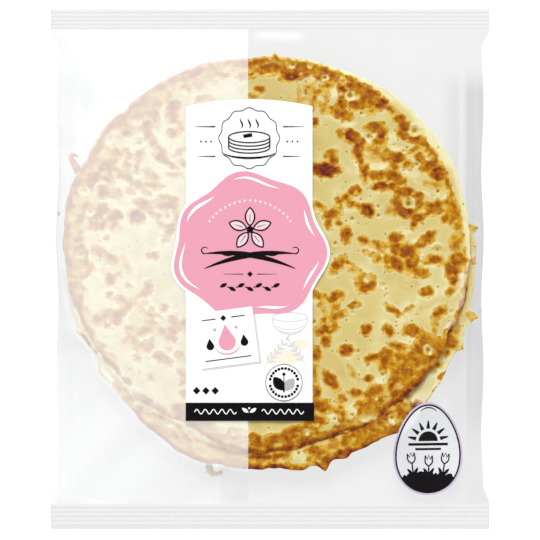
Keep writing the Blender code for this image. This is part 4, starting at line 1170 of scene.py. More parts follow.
def bubbles_of(number):
    """The burst bubbles on a crepe's face: x, y and radius in millimetres, and how dark the hole is."""
    draw = np.random.default_rng(BUBBLE_SEED + number)
    is_whole = number in WHOLE_FACES
    count = BUBBLE_COUNT if is_whole else BUBBLE_COUNT // 3
    turn = draw.uniform(0, 2 * math.pi, count)
    reach = BUBBLES_REACH * np.sqrt(draw.uniform(0.0 if is_whole else 0.82, 1.0, count))
    size = draw.choice((0.6, 0.75, 0.95, 1.3), count, p=(0.45, 0.30, 0.17, 0.08))
    hole = draw.uniform(0.2, 1.2, count)
    drawn = zip(reach * np.cos(turn), reach * np.sin(turn) + STACK_MIDDLE[1] / MM, size, hole)
    return (*{8: CRATERS, 7: LOWER_CRATERS}.get(number, ()), *drawn)


def burst_bubbles(face, depth):
    """The bubbles' relief and colouring, with a painted highlight on their rims, where the open ones also
    clear away the browning.
    """
    x, y = face.x, face.y
    relief, bubble = np.zeros_like(x), np.zeros_like(x)
    for middle_x, middle_y, size, hole in bubbles_of(face.number):
        near = np.flatnonzero((np.abs(x - middle_x) < 2.2 * size) & (np.abs(y - middle_y) < 2.2 * size))
        lower = 0.12 * size
        distance = np.hypot(x[near] - middle_x, y[near] - middle_y) / size
        to_hole = np.hypot(x[near] - middle_x, y[near] - middle_y - lower) / size
        bowl = np.clip(1.0 - distance**2, 0.0, 1.0)
        ring = np.exp(-(((distance - 1.1) / 0.26) ** 2))
        relief[near] += (ring * 0.15 - bowl * 0.5) * min(size, 2.0) ** 0.8
        # Positive values paint a highlight on the bubble's rim, and negative ones colour its hole
        bubble[near] += ring * 0.6 - hole * (smooth(1.35 - to_hole / 0.42) + 0.3 * bowl)
        if size > 0.9:
            cleared = smooth((1.25 - distance) / 0.35) * (1.0 if size > 1.5 else 0.55)
            depth[near] -= cleared * np.maximum(depth[near] + 1.0, 0.0)
    return relief, np.clip(bubble, -1.0, 1.0)


def rim_browning(face):
    """How deep inside the browned rim the points are, how dark they are, and how rolled the rim is."""
    rim = face.by_angle(BROWNED_RIMS.get(face.number, HIDDEN_RIM))
    rolled = smooth((rim - 2) / 2)
    rim = rim + np.clip(0.7 + 0.5 * rim, 0.7, 2.0) * face.layered_noise(5.0, 5, 3)
    depth = np.clip(rim - face.inwards, -SPOT_ROOM, DEEPEST_RIM)
    depth -= 1.3 * smooth((face.noise(4.4, 12) - 0.32) / 0.3)
    dark = 0.52 + 0.42 * face.noise(5.0, 8) + 0.60 * smooth(1 - face.inwards / 3.0)
    return depth, dark, rolled


def paint_shade_by_the_next(face, cream, depth, dark):
    """Paints a brown shadow on a crepe along the next one's edge, and warm shade on its batter at the lower
    right.
    """
    covered = face.inside(face.number + 1)
    browned_above = face.by_angle(BROWNED_RIMS.get(face.number + 1, HIDDEN_RIM))
    # A painted brown shadow along the next crepe's edge
    edge_shadow = covered + 0.7 + 0.9 * face.noise(5.0, 10) - 5.0 * smooth((4.0 - browned_above) / 2)
    close = covered - 0.1 - 0.3 * face.milky + 0.6 * face.noise(3.0, 10)
    edge_shadow = np.where(face.angle < CLOSE_ANGLE, close, edge_shadow)
    if face.number > 1:
        # Painted warm shade on the batter beside the next crepe's edge, at the lower right
        warm_shade = np.minimum(covered + 1.6 + 0.7 * face.noise(3.0, 11), 0.6)
        warm_shade = warm_shade - 3.0 * face.milky - 2.0 * cream
        warm_shaded = (warm_shade > depth) & (depth < -0.3) & (face.angle < WARM_SHADE_ANGLE)
        dark = np.where(warm_shaded, WARM_SHADE_DARKNESS, dark)
        depth = np.where(warm_shaded, warm_shade, depth)
    dark = np.where(edge_shadow > depth, EDGE_SHADOW_DARKNESS, dark)
    if face.number > 1:
        depth = np.maximum(depth, np.minimum(edge_shadow, 1.2))
    return depth, dark


def batter_lightness(face, cream, depth):
    """How light the batter is: in blots, by the edge, round the spots, partly painted highlight, under the
    milky print, and with painted light that lifts the shade beside the top crepe's edge.
    """
    pale_border_and_highlight = smooth((depth + 2.9) / 2.4) * smooth((0.2 - depth) / 0.6)
    light = 0.55 * face.layered_noise(34, 16, 2) + 0.35 * face.noise(6.0, 18)
    bare = smooth((face.by_angle(BARE_LIP) - 1) / 2) * face.is_top
    light = light + (0.1 if face.is_top else 0.15)
    light = light + (0.5 + 0.5 * bare) * smooth(1 - face.inwards / (2.5 + 2 * bare))
    light = light + (0.45 if face.is_top else 0.8) * face.milky
    # A pale halo round the spots, partly the batter's pale border and partly painted highlight
    light = light + (0.5 + 0.3 * face.milky) * pale_border_and_highlight * smooth(0.3 + face.noise(8.0, 19))
    light = light - 0.35 * (face.angle < DEEPER_ANGLE) * (1.0 - face.milky) * (1.0 - cream)
    light = light + cream * (0.6 + 0.5 * face.noise(2.2, 24))
    # Painted light that lifts the shade beside the top crepe's edge, under the milky print
    if face.number == CREPE_COUNT - 1:
        light = light + 0.8 * face.milky * smooth((face.inside(CREPE_COUNT) + 2.5) / 1.5)
    # Painted light that lifts the shade of the top crepe's edge on the pale layer
    if face.number == CREPE_COUNT - 2:
        light = light + 0.6 * smooth((PALE_LAYER_PAINTED_LIGHT_ANGLE - face.angle) / 0.1)
    return light


def face_relief(face, cream, depth, rolled):
    """The face's height in millimetres: uneven batter, sunken spots and the rolled rim."""
    height = 0.22 * face.layered_noise(22, 20, 2) + 0.24 * face.noise(7.5, 22)
    height += 0.08 * face.noise(3.2, 23) + 0.16 * cream * face.noise(1.9, 25)
    height += 0.05 * np.exp(-(((depth + 1.1) / 0.9) ** 2)) - 0.10 * smooth((depth + 0.4) / 1.0)
    return height + 0.24 * rolled * np.exp(-(((face.inwards - 1.7) / 1.2) ** 2))


def crepe_face(number, x, y):
    """Relief and colour values over a crepe's face: height, spot depth, darkness, lightness and
    bubbles. Depths are in millimetres from a spot's edge, inwards."""
    face = Face(number, x, y)
    depth, dark, rolled = rim_browning(face)
    u = x + 0.50 * face.noise(4.6, 1)
    v = y + 0.50 * face.noise(4.6, 3)
    lay_spots(SPOTS.get(number, ()), u, v, depth, dark)
    cream = clear_bays(PALE_BAYS.get(number, ()), u, v, depth)
    depth -= 0.25 * face.milky
    # Rolled rims darker along the lower side: the underside's own browning and painted shade
    underside = (0.42 if face.is_top else 0.25) * smooth(1 - face.inwards / 2.8)
    dark += underside * smooth((rolled - 0.2) / 0.5) * smooth((UNDERSIDE_AND_SHADE_ANGLE - face.angle) / 0.3)
    if face.is_top:
        depth = np.minimum(depth, face.inwards - (face.by_angle(BARE_LIP) + 0.4 * face.noise(3.0, 7)))
    else:
        depth, dark = paint_shade_by_the_next(face, cream, depth, dark)
    light = batter_lightness(face, cream, depth)
    relief, bubble = burst_bubbles(face, depth)
    dark = (SPOT_COLOURING * dark + 0.13 * face.noise(3.2, 15)) * (1.0 - 0.32 * face.milky)
    height = (face_relief(face, cream, depth, rolled) + relief) * smooth(face.inwards / 1.2)
    highest = LOWEST_CREPE_RELIEF if number == 1 else HIGHEST_RELIEF
    height = np.clip(height, DEEPEST_DENT, highest)
    return height, depth, dark, light, bubble * (1.0 - 0.5 * face.milky)


def disc_grid(half_cells):
    """A square grid laid out on a disc: each corner's share of the radius and its angle."""
    steps = np.arange(-half_cells, half_cells + 1)
    column, row = np.meshgrid(steps, steps)
    is_wide = np.abs(column) >= np.abs(row)
    main, other = np.where(is_wide, column, row), np.where(is_wide, row, column)
    lean = math.pi / 4 * other / np.where(main == 0, 1, main)
    angle = np.where(is_wide, lean, math.pi / 2 - lean) + np.where(main < 0, math.pi, 0.0)
    return np.abs(main) / half_cells, np.angle(np.exp(1j * angle))


def ring_grid(rings, spokes, inner_share):
    """Rings near a disc's edge: each corner's share of the radius and its angle."""
    shares = mix(inner_share, 1.0, np.linspace(0.0, 1.0, rings) ** 0.9)
    share, angle = np.meshgrid(shares, 2 * math.pi * np.arange(spokes) / spokes, indexing="ij")
    return share, np.angle(np.exp(1j * angle))


def crepe_grid(number):
    """A crepe's fine face: the corners' shares and angles, its polygons and its rim's points. The top
    crepe and the lowest are fine all over, and the others near their edges."""
    if number in WHOLE_FACES:
        share, angle = disc_grid(90 if number == 1 else 150)
        return share, angle, [grid_quads(*share.shape)], rim_of_grid(*share.shape)
    share, angle = ring_grid(30, 840, 0.82) if number >= 6 else ring_grid(6, 420, 0.85)
    rings, spokes = share.shape
    index = np.arange(rings * spokes).reshape(rings, spokes)
    quads = [wall_quads(inner, outer) for inner, outer in zip(index, index[1:])]
    return share, angle, [*quads, index[:1]], index[-1]


def rim_form(number, angle):
    """How far a crepe's rim hangs, and the share of its thickness there. The top one's is pressed on
    the next crepe along the bottom."""
    turn = np.degrees(angle)
    pressed = smooth((turn + 168) / 10) * smooth((-38 - turn) / 8) * (number == CREPE_COUNT)
    sag = 0.0 if number == 1 else RIM_SAG
    return sag + PRESSED_SAG * pressed, mix(RIM_SHARE, PRESSED_SHARE, pressed)


def edge_rows(number, angle, reach, side, level):
    """A crepe's rows of points from the fine face round its edge, and inwards on the far side."""
    sag, rim_share = rim_form(number, angle)
    turns = np.linspace(0, math.pi, EDGE_ROWS + 2)[1:]
    rows = [(EDGE_ROUND * (1 - math.sin(t)), rim_share * math.cos(t), sag) for t in turns]
    for inset, share, low in (*rows, (SAG_WIDTH, -RIM_SHARE, 0.0)):
        x = STACK_MIDDLE[0] + (reach - inset) * np.cos(angle)
        y = STACK_MIDDLE[1] + (reach - inset) * np.sin(angle)
        z = level + side * (CREPE_THICKNESS / 2) * share - low + np.zeros(len(angle))
        yield as_points(x, y, z)


def make_crepe(number, material):
    """One crepe: its fine face, a rounded edge and its plain far side. The lowest one's fine face is
    its underside."""
    is_lowest = number == 1
    side = -1.0 if is_lowest else 1.0
    level = FIRST_CREPE_LEVEL + CREPE_PITCH * (number - 1)
    share, angle, polygons, rim = crepe_grid(number)
    edge = reach_at(EDGE_REACHES[number], angle)
    radius = share * (edge - EDGE_ROUND)
    x = (STACK_MIDDLE[0] + radius * np.cos(angle)).ravel()
    y = (STACK_MIDDLE[1] + radius * np.sin(angle)).ravel()
    height, *values = crepe_face(number, x / MM, y / MM)
    sag, rim_share = rim_form(number, angle)
    thinning = mix(rim_share, 1.0, smooth((edge - radius - EDGE_ROUND) / THINNING_WIDTH)).ravel()
    fall = (sag * smooth(1 - (edge - radius - EDGE_ROUND) / SAG_WIDTH)).ravel()
    rows = [as_points(x, y, level - fall + side * (CREPE_THICKNESS / 2 * thinning + height * MM))]
    values = [as_points(*values)]
    last, count = rim, x.size
    for row in edge_rows(number, angle.ravel()[rim], edge.ravel()[rim], side, level):
        fading = 1.0 - EDGE_FADING * (len(rows) - 1)
        values.append(values[0][rim] * (1.0, fading, 1.0, 1.0))
        rows.append(row)
        new = count + np.arange(len(rim))
        polygons.append(wall_quads(last, new))
        last, count = new, count + len(rim)
    polygons.append(last[None, ::-1])
    if is_lowest:
        polygons = [p[:, ::-1] for p in polygons]
    attributes = dict(zip(CREPE_VALUES, np.concatenate(values).T))
    mesh = mesh_from(f"crepe_{number}", np.concatenate(rows), polygons, attributes)
    add_piece(f"crepe_{number}", mesh, material)


def smooth_line(points, pieces=8):
    """Points along a smooth curve through the given ones."""
    points = np.asarray(points, float)
    ends = np.concatenate([[2 * points[0] - points[1]], points, [2 * points[-1] - points[-2]]])
    steps = np.linspace(0, len(points) - 1, pieces * (len(points) - 1) + 1)
    first = np.minimum(steps.astype(int), len(points) - 2)
    t = (steps - first)[:, None]
    a, b, c, d = (ends[first + i] for i in range(4))
    return 0.5 * (2 * b + (c - a) * t + (2 * a - 5 * b + 4 * c - d) * t**2 + (3 * b - a - 3 * c + d) * t**3)


def make_strand(name, route, darkness, material):
    """A thin strand of batter that ran over an edge, along a route."""
    line = smooth_line(route)
    ahead = np.gradient(line[:, :2], axis=0)
    ahead /= np.linalg.norm(ahead, axis=1)[:, None]
    turns = np.linspace(0, 2 * math.pi, 12, endpoint=False)
    half = line[:, 3:] * (1 + 0.12 * np.sin(np.arange(len(line)) * 1.7))[:, None]
    aside, up = half * np.cos(turns), 0.6 * half * np.sin(turns)
    x = line[:, :1] - ahead[:, 1:] * aside
    y = line[:, 1:2] + ahead[:, :1] * aside
    index = np.arange(x.size).reshape(x.shape)
    polygons = [wall_quads(low, high)[:, ::-1] for low, high in zip(index, index[1:])]
    values = (STRAND_DEPTH, darkness, STRAND_LIGHTNESS, 0.0)
    attributes = {key: np.full(x.size, value) for key, value in zip(CREPE_VALUES, values)}
    points = as_points(x, y, line[:, 2:3] + up) * MM
    mesh = mesh_from(name, points, [*polygons, index[:1], index[-1:, ::-1]], attributes)
    add_piece(name, mesh, material)


# Strands of batter and a crumb: how dark each is, and points along it in millimetres with x, y, z and
# half the width
STRAND_DEPTH = 0.9
STRAND_LIGHTNESS = 0.5
STRANDS = {
    "lower_strand": (0.14, (
        (-26.0, -81.0, 6.0, 1.4), (-26.4, -85.8, 5.4, 1.6), (-25.4, -88.4, 4.8, 1.3),
        (-23.2, -88.9, 4.6, 0.95), (-21.3, -88.2, 4.6, 0.9), (-20.7, -87.9, 4.6, 0.6),
    )),
    "upper_strand": (0.55, (
        (-82.6, 42.0, 9.4, 1.9), (-84.4, 45.2, 8.8, 1.5), (-86.0, 47.8, 8.4, 1.1),
        (-85.7, 49.5, 8.2, 0.8), (-84.2, 49.3, 8.2, 0.6), (-83.2, 48.5, 8.2, 0.3),
    )),
    "crumb": (0.7, (
        (-91.5, 25.0, 9.4, 0.25), (-91.4, 24.3, 9.4, 0.55), (-91.3, 23.4, 9.4, 0.5),
        (-91.2, 22.9, 9.4, 0.2),
    )),
}


# The print: flat shapes of one ink are gathered into one thin sheet

SHAPE_STEP = 0.0012
INK_THICKNESS = 0.03 * MM


class Ink:
    """One colour's sheet. Each shape lies a hair above the one before it, so that none coincide."""

    def __init__(self, name, level):
        self.name = name
        self.level = level * MM
        self.shape = bmesh.new()
        self.count = 0

    def height(self):
        self.count += 1
        return self.level + self.count * SHAPE_STEP * MM

    def area(self, outline):
        """A filled shape from its outline, in millimetres."""
        z = self.height()
        self.shape.faces.new([self.shape.verts.new((x * MM, y * MM, z)) for x, y in outline])

    def stroke(self, line, width, closed=False):
        """A line of this width, or of a width for each point, in millimetres."""
        line = np.asarray(line, float)
        width = np.broadcast_to(np.asarray(width, float), len(line))
        if closed:
            along = np.roll(line, -1, axis=0) - np.roll(line, 1, axis=0)
        else:
            along = np.gradient(line, axis=0)
        along /= np.linalg.norm(along, axis=1)[:, None]
        aside = np.stack([-along[:, 1], along[:, 0]], axis=1) * width[:, None] / 2
        z = self.height()
        left, right = (
            [self.shape.verts.new((x * MM, y * MM, z)) for x, y in line + way * aside] for way in (1, -1)
        )
        pairs = list(zip(left, right))
        following = pairs[1:] + pairs[:1] if closed else pairs[1:]
        for (a, b), (c, d) in zip(pairs, following):
            self.shape.faces.new((a, b, d, c))

    def dots(self, points, radius):
        for point in points:
            self.area(loop_of(point, radius, 12))

    def drape(self, spacing):
        """Cuts the shapes by a grid and lays them on the film."""
        bmesh.ops.triangulate(self.shape, faces=list(self.shape.faces))
        for axis in (0, 1):
            low = min(v.co[axis] for v in self.shape.verts)
            high = max(v.co[axis] for v in self.shape.verts)
            for step in range(math.ceil(low / spacing), math.floor(high / spacing) + 1):
                middle, normal = Vector((0, 0, 0)), Vector((0, 0, 0))
                middle[axis], normal[axis] = step * spacing, 1.0
                geometry = list(self.shape.verts) + list(self.shape.edges) + list(self.shape.faces)
                bmesh.ops.bisect_plane(self.shape, geom=geometry, plane_co=middle, plane_no=normal)
        points = np.array([v.co for v in self.shape.verts])
        for v, lift in zip(self.shape.verts, film_levels(points[:, 0], points[:, 1])[0]):
            v.co.z += lift

    def make(self, material, slot, replaced=None):
        for face in self.shape.faces:
            face.normal_update()
            if face.normal.z < 0:
                face.normal_flip()
        mesh = bpy.data.meshes.new(self.name)
        self.shape.to_mesh(mesh)
        self.shape.free()
        piece = add_piece(self.name, mesh, material, replaced)
        thickness = piece.modifiers.new("thickness", "SOLIDIFY")
        thickness.thickness = INK_THICKNESS
        thickness.offset = -1.0


def arc(middle, radius, start, end, steps, stretch=1.0):
    """Points along an arc, by its angles in degrees."""
    turns = np.radians(np.linspace(start, end, steps))
    x = middle[0] + stretch * radius * np.cos(turns)
    return np.stack([x, middle[1] + radius * np.sin(turns)], axis=1)


def loop_of(middle, radius, steps=48, stretch=1.0):
    return arc(middle, radius, 0, 360, steps + 1, stretch)[:-1]


def turned(points, middle, degrees):
    """Points turned about the origin and moved to a middle."""
    cos, sin = math.cos(math.radians(degrees)), math.sin(math.radians(degrees))
    x, y = np.asarray(points, float).T
    return np.stack([middle[0] + x * cos - y * sin, middle[1] + x * sin + y * cos], axis=1)


def taper(count, widest, least=0.15):
    """Widths of a stroke that is thin at both ends."""
    return least + (widest - least) * np.sin(np.linspace(0, math.pi, count))


def leaf(length, width, steps=10):
    """A pointed leaf that starts at the origin and grows along +X."""
    along = np.linspace(0, 1, steps)
    half = width / 2 * np.sin(math.pi * along) ** 0.8
    over = np.stack([along * length, half], axis=1)
    under = np.stack([along * length, -half], axis=1)
    return np.concatenate([over[:-1], under[:0:-1]])


def drop(tip, middle, radius):
    """A drop from its tip and the middle and radius of its round end."""
    return np.concatenate([[tip], arc(middle, radius, 38, -218, 30)])


def rectangle(left, right, bottom, top):
    return [(left, bottom), (right, bottom), (right, top), (left, top)]


def diamond(middle, half):
    return turned([(half, 0), (0, half), (-half, 0), (0, -half)], middle, 0)


def rule(ink, middle, start, end, widest):
    """Two thin rules beside a middle, from start to end on each side, thinner outwards."""
    for side in (-1, 1):
        line = [(middle[0] + side * mix(start, end, s), middle[1]) for s in np.linspace(0, 1, 8)]
        ink.stroke(line, np.linspace(widest, 0.12, 8))


def sprig(ink, base, length, degrees, pairs, leaf_length, leaf_width, stem):
    """A stem with paired leaves and one at its tip."""
    stem_line = turned([(s * length, 0) for s in np.linspace(0, 1, 5)], base, degrees)
    ink.stroke(stem_line, stem)
    for pair in range(pairs):
        start = turned([(length * (pair + 1.2) / (pairs + 1.2), 0)], base, degrees)[0]
        for side in (-1, 1):
            ink.area(turned(leaf(leaf_length, leaf_width), start, degrees + side * 42))
    ink.area(turned(leaf(leaf_length * 1.15, leaf_width), stem_line[-1], degrees))


LABEL = {"left": -36.2, "right": 18.3, "top": 70.2, "bottom": -65.2, "arch": 3.1}
LABEL_MIDDLE = (LABEL["left"] + LABEL["right"]) / 2
LABEL_LEVELS = {
    "white": 0.12, "cream": 0.17, "faint": 0.20, "grey": 0.23, "pink": 0.27, "dark": 0.33,
    "blush": 0.36, "white_over": 0.42, "grey_over": 0.46, "pink_over": 0.48, "blush_over": 0.50,
    "dark_over": 0.53,
}
BAND_HEIGHT = 7.7
BLOT = {"middle": (-8.6, 9.5), "radius": 32.0, "stretch": 1.04, "lobes": ((7, 0.040, 0.5), (3, 0.030, 1.9))}
BLOT_BORDER = 1.15
CARD = {"middle": (-18.7, -29.5), "width": 25.3, "height": 24.0, "tilt": 7.5}
ROUNDEL = {"middle": (6.0, -48.8), "radius": 8.0}


def blot_outline(inset, start=0.0, end=360.0, steps=168):
    """The flavour field's wavy outline, or a stretch of it, this far inside its edge."""
    turns = np.radians(np.linspace(start, end, steps))
    reach = BLOT["radius"] * (1.0 + ripple(turns, BLOT["lobes"])) - inset
    x = BLOT["middle"][0] + BLOT["stretch"] * reach * np.cos(turns)
    return np.stack([x, BLOT["middle"][1] + reach * np.sin(turns)], axis=1)


def label_panel():
    half = (LABEL["right"] - LABEL["left"]) / 2
    radius = (half**2 + LABEL["arch"] ** 2) / (2 * LABEL["arch"])
    spread = math.degrees(math.asin(half / radius))
    top = arc((LABEL_MIDDLE, LABEL["top"] + LABEL["arch"] - radius), radius, 90 - spread, 90 + spread, 24)
    return [(LABEL["left"], LABEL["bottom"]), (LABEL["right"], LABEL["bottom"]), *top]


def on_card(points):
    return turned(points, CARD["middle"], CARD["tilt"])


def draw_head_sign(inks):
    """A small stack of crepes on a plate, in a scalloped ring between thin rules."""
    dark = inks["dark"]
    x, y = LABEL_MIDDLE, 56.9
    turns = np.linspace(0, 2 * math.pi, 145)[:-1]
    reach = 12.7 + 0.45 * np.cos(12 * turns)
    ring = np.stack([x + reach * np.cos(turns), y - 0.5 + reach * np.sin(turns)], axis=1)
    dark.stroke(ring, 0.32, closed=True)
    for layer in range(4):
        dark.stroke(arc((x, y - 1.5 * layer), 2.4, 180, 360, 30, 3.7), 0.5)
    dark.stroke(arc((x, y), 2.4, 0, 180, 30, 3.7), 0.5)
    for side in (-1, 1):
        dark.stroke([(x + side * 8.88, y), (x + side * 8.88, y - 4.5)], 0.5)
    dark.stroke(arc((x, y - 6.2), 2.8, 195, 345, 30, 4.1), taper(30, 0.9))
    dark.area(turned(rectangle(-1.9, 1.9, -0.6, 0.9), (x - 0.6, y + 0.5), 9))
    for offset in (-3.4, 0.0, 3.4):
        wave = [(x + offset + 0.5 * math.sin(t), y + 3.8 + 0.85 * t) for t in np.linspace(0, 5, 14)]
        dark.stroke(wave, taper(14, 0.7))
    rule(dark, (x, 61.4), 14.6, 23.6, 0.5)
    rule(dark, (x, 48.6), 14.6, 22.0, 0.5)
    dark.dots([(x + side * gap, 55.0) for side in (-1, 1) for gap in (16.4, 18.6, 20.8)], 0.38)


def draw_flavour_field(inks):
    """The lobed field, with a vanilla flower over two pods."""
    dark, blush = inks["dark"], inks["blush"]
    inks["white"].area(blot_outline(0.0)[:-1])
    inks["pink"].area(blot_outline(BLOT_BORDER)[:-1])
    for start, end, widest in (
        (124, 158, 1.5), (64, 104, 1.2), (176, 222, 1.3), (10, 36, 1.2), (-40, -12, 1.2), (-84, -58, 1.2)
    ):
        inks["white_over"].stroke(blot_outline(3.9, start, end, 24), taper(24, widest, 0.1))
    x, y = BLOT["middle"]
    blush.dots(arc((x, y - 1.5), 21.5, 144, 36, 19), 0.66)
    flower = (x, y + 7.6)
    for petal in range(5):
        turn = 90 + 72 * petal
        dark.area(turned(leaf(8.6, 4.7, 14), turned([(1.2, 0)], flower, turn)[0], turn))
        inks["blush_over"].area(turned(leaf(7.0, 3.3, 14), turned([(2.0, 0)], flower, turn)[0], turn))
        inks["dark_over"].stroke(turned([(3.2, 0), (7.0, 0)], flower, turn), (0.36, 0.14))
    inks["dark_over"].area(loop_of(flower, 1.45, 20))
    for side in (-1, 1):
        along = np.linspace(-1, 1, 30)
        pod = [(x + side * 19.5 * s, y - 6.0 + 3.2 * s + 2.6 * (1 - s * s)) for s in along]
        dark.stroke(pod, taper(30, 2.3, 0.3))
        hook = arc((x + side * 19.5, y - 1.4), 1.4, -90, -90 + side * 230, 14)
        dark.stroke(hook, np.linspace(0.6, 0.3, 14))
    for side in (-1, 1):
        dark.stroke(arc((x + side * 9.5, y - 1.4), 2.2, 200, 340, 14, 1.6), taper(14, 0.5))
    rule(dark, (x, y - 11.6), 3.0, 11.5, 0.36)
    dark.area(diamond((x, y - 11.6), 1.25))
    for step in range(-3, 4):
        dark.area(turned(leaf(3.5, 1.6), (x + 3.8 * step - 1.6, y - 17.2), 26 if step % 2 else -26))
    dark.dots([(x + 3.8 * step + 1.9, y - 17.2) for step in range(-3, 3)], 0.32)


def draw_card(inks):
    """A tilted card with three drops of milk, and its soft printed shadow."""
    right, top = CARD["width"] / 2, CARD["height"] / 2
    for ink, grow in ((inks["faint"], 0.9), (inks["grey"], 0.4)):
        ink.area(on_card(rectangle(-right + 0.6, right + grow, -top - grow, top - 0.8)))
    inks["white_over"].area(on_card(rectangle(-right, right, -top, top)))
    for start, end in ((-9.6, -3.6), (3.0, 9.0)):
        inks["dark_over"].stroke(on_card([(start, 8.6), (end, 8.6)]), 0.42)
    inks["dark_over"].stroke(on_card([(-10.4, -9.0), (9.6, -9.0)]), 0.42)
    inks["dark_over"].area(on_card(diamond((-0.3, 8.6), 1.3)))
    inks["pink_over"].area(on_card(drop((0.0, 5.8), (0.0, -1.8), 3.7)))
    for side in (-1, 1):
        inks["dark_over"].area(on_card(drop((side * 7.4, 0.6), (side * 7.4, -2.8), 1.65)))
    inks["pink_over"].stroke(on_card(arc((0.0, -1.6), 5.5, 200, 340, 20, 1.1)), taper(20, 0.7))
    inks["pink_over"].dots(on_card([(side * 4.6, 4.0) for side in (-1, 1)]), 0.7)


def draw_faint_sketch(inks):
    """A pale bowl and two ears of wheat in the panel's lower right corner."""
    faint, cream = inks["faint"], inks["cream"]
    cream.area(loop_of((6.0, -37.6), 3.0, 24, 2.6))
    cream.area(loop_of((12.6, -32.4), 2.2, 20, 2.0))
    cream.area(loop_of((12.0, -13.6), 1.3, 20, 3.6))
    faint.stroke(loop_of((8.6, -20.6), 1.9, 40, 4.0), 0.42, closed=True)
    faint.stroke(arc((8.6, -20.8), 7.4, 182, 358, 30, 1.02), 0.5)
    faint.stroke(arc((8.6, -23.4), 2.6, 200, 340, 20, 2.4), 0.4)
    faint.stroke(arc((8.6, -25.4), 2.0, 200, 340, 20, 2.4), 0.4)
    sprig(faint, (-2.6, -42.5), 15.0, 52, 5, 3.0, 0.9, 0.34)
    sprig(faint, (15.4, -41.5), 12.0, 124, 4, 2.8, 0.9, 0.34)


def draw_roundel(inks):
    middle, radius = ROUNDEL["middle"], ROUNDEL["radius"]
    inks["white_over"].area(loop_of(middle, radius))
    inks["dark_over"].stroke(loop_of(middle, radius - 0.15), 0.24, closed=True)
    dots = [p for i, p in enumerate(loop_of(middle, radius - 1.9, 26)) if i % 13]
    inks["dark_over"].dots(dots, 0.62)
    inks["grey_over"].area(turned(leaf(6.8, 4.4), (middle[0] + 0.2, middle[1] - 3.6), 52))
    inks["dark_over"].area(turned(leaf(7.2, 4.4), (middle[0] - 0.2, middle[1] - 3.4), 126))
    inks["dark_over"].stroke([(middle[0], middle[1] - 4.2), (middle[0], middle[1] + 3.4)], (0.7, 0.25))
    inks["dark_over"].area(diamond((middle[0], middle[1] + 3.6), 0.9))


def draw_band(inks):
    """The black band at the label's foot, with two running waves and a leaf pair."""
    left, bottom = LABEL["left"], LABEL["bottom"]
    top = bottom + BAND_HEIGHT
    inks["dark"].area(rectangle(left - 0.1, LABEL["right"] + 0.7, bottom - 0.1, top))
    for step in range(3):
        inks["dark"].area(diamond((left + 4.6 + 4.0 * step, top + 5.2), 1.6))
    y = bottom + BAND_HEIGHT / 2
    for start, end in ((-32.5, -14.5), (-3.5, 14.5)):
        wave = [(x, y + 1.0 * math.sin(2 * math.pi * x / 3.6)) for x in np.linspace(start, end, 90)]
        inks["white_over"].stroke(wave, 0.40)
    for side in (-1, 1):
        foot = (LABEL_MIDDLE + side * 0.3, y - 0.4)
        inks["white_over"].area(turned(leaf(3.4, 1.5), foot, 90 - side * 55))
    inks["white_over"].dots([(LABEL_MIDDLE, y + 1.5)], 0.45)


LABEL_DRAWINGS = (draw_head_sign, draw_flavour_field, draw_faint_sketch, draw_card, draw_roundel, draw_band)


def make_label(materials):
    """The label's sheets of ink, each a little over the one before it."""
    base = STACK_THICKNESS / MM
    inks = {key: Ink(f"label_{key}", base + level) for key, level in LABEL_LEVELS.items()}
    inks["white"].area(label_panel())
    for draw in LABEL_DRAWINGS:
        draw(inks)
    inks.pop("white").make(materials["white"], "label_print", "label")
    for key, ink in inks.items():
        ink.make(materials[key.removesuffix("_over")], "label_print")


BADGE = {"middle": (68.4, -77.7), "half_width": 15.0, "half_height": 20.3, "taper": 0.16}
BADGE_LEVELS = {"halo": 0.10, "face": 0.16, "dark": 0.24}
DRAPE_CELL = 1.5 * MM


def egg(inset, start=0.0, end=360.0, steps=97):
    """The badge's outline, or a stretch of it, this far inside its edge."""
    turns = np.radians(np.linspace(start, end, steps))
    narrowing = 1.0 - BADGE["taper"] * np.sin(turns)
    x = BADGE["middle"][0] + (BADGE["half_width"] - inset) * np.cos(turns) * narrowing
    y = BADGE["middle"][1] + (BADGE["half_height"] - inset) * np.sin(turns)
    return np.stack([x, y], axis=1)


def draw_meadow(dark):
    """Black ground with ragged grass, and three tulips in outline."""
    ground = egg(1.5, 222, 318, 40)
    left, right = ground[0], ground[-1]
    blades = []
    for step in range(1, 26):
        share = 1 - step / 26
        mound = 1.4 * math.sin(math.pi * share) + (1.3 if step % 2 else 0.0)
        blades.append((mix(left[0], right[0], share), left[1] + mound + 0.35 * math.sin(step * 1.9)))
    dark.area([*ground, *blades])
    for across, height, lean in ((-6.2, 5.4, 8), (0.3, 4.2, 0), (6.4, 5.2, -8)):
        foot = (BADGE["middle"][0] + across, left[1] + 0.8)
        head = turned([(height, 0)], foot, 90 + lean)[0]
        dark.stroke([foot, head], 0.6)
        for side in (-1, 1):
            petal = turned(smooth_line([(0, 0), (1.6, 1.5 * side), (4.6, 1.5 * side)], 6), head, 90 + lean)
            dark.stroke(petal, 0.55)
            dark.area(turned(leaf(4.2, 1.3), foot, 90 + lean + side * 34))
        tip = turned([(4.6, -1.5), (3.0, -0.75), (4.8, 0), (3.0, 0.75), (4.6, 1.5)], head, 90 + lean)
        dark.stroke(tip, 0.5)


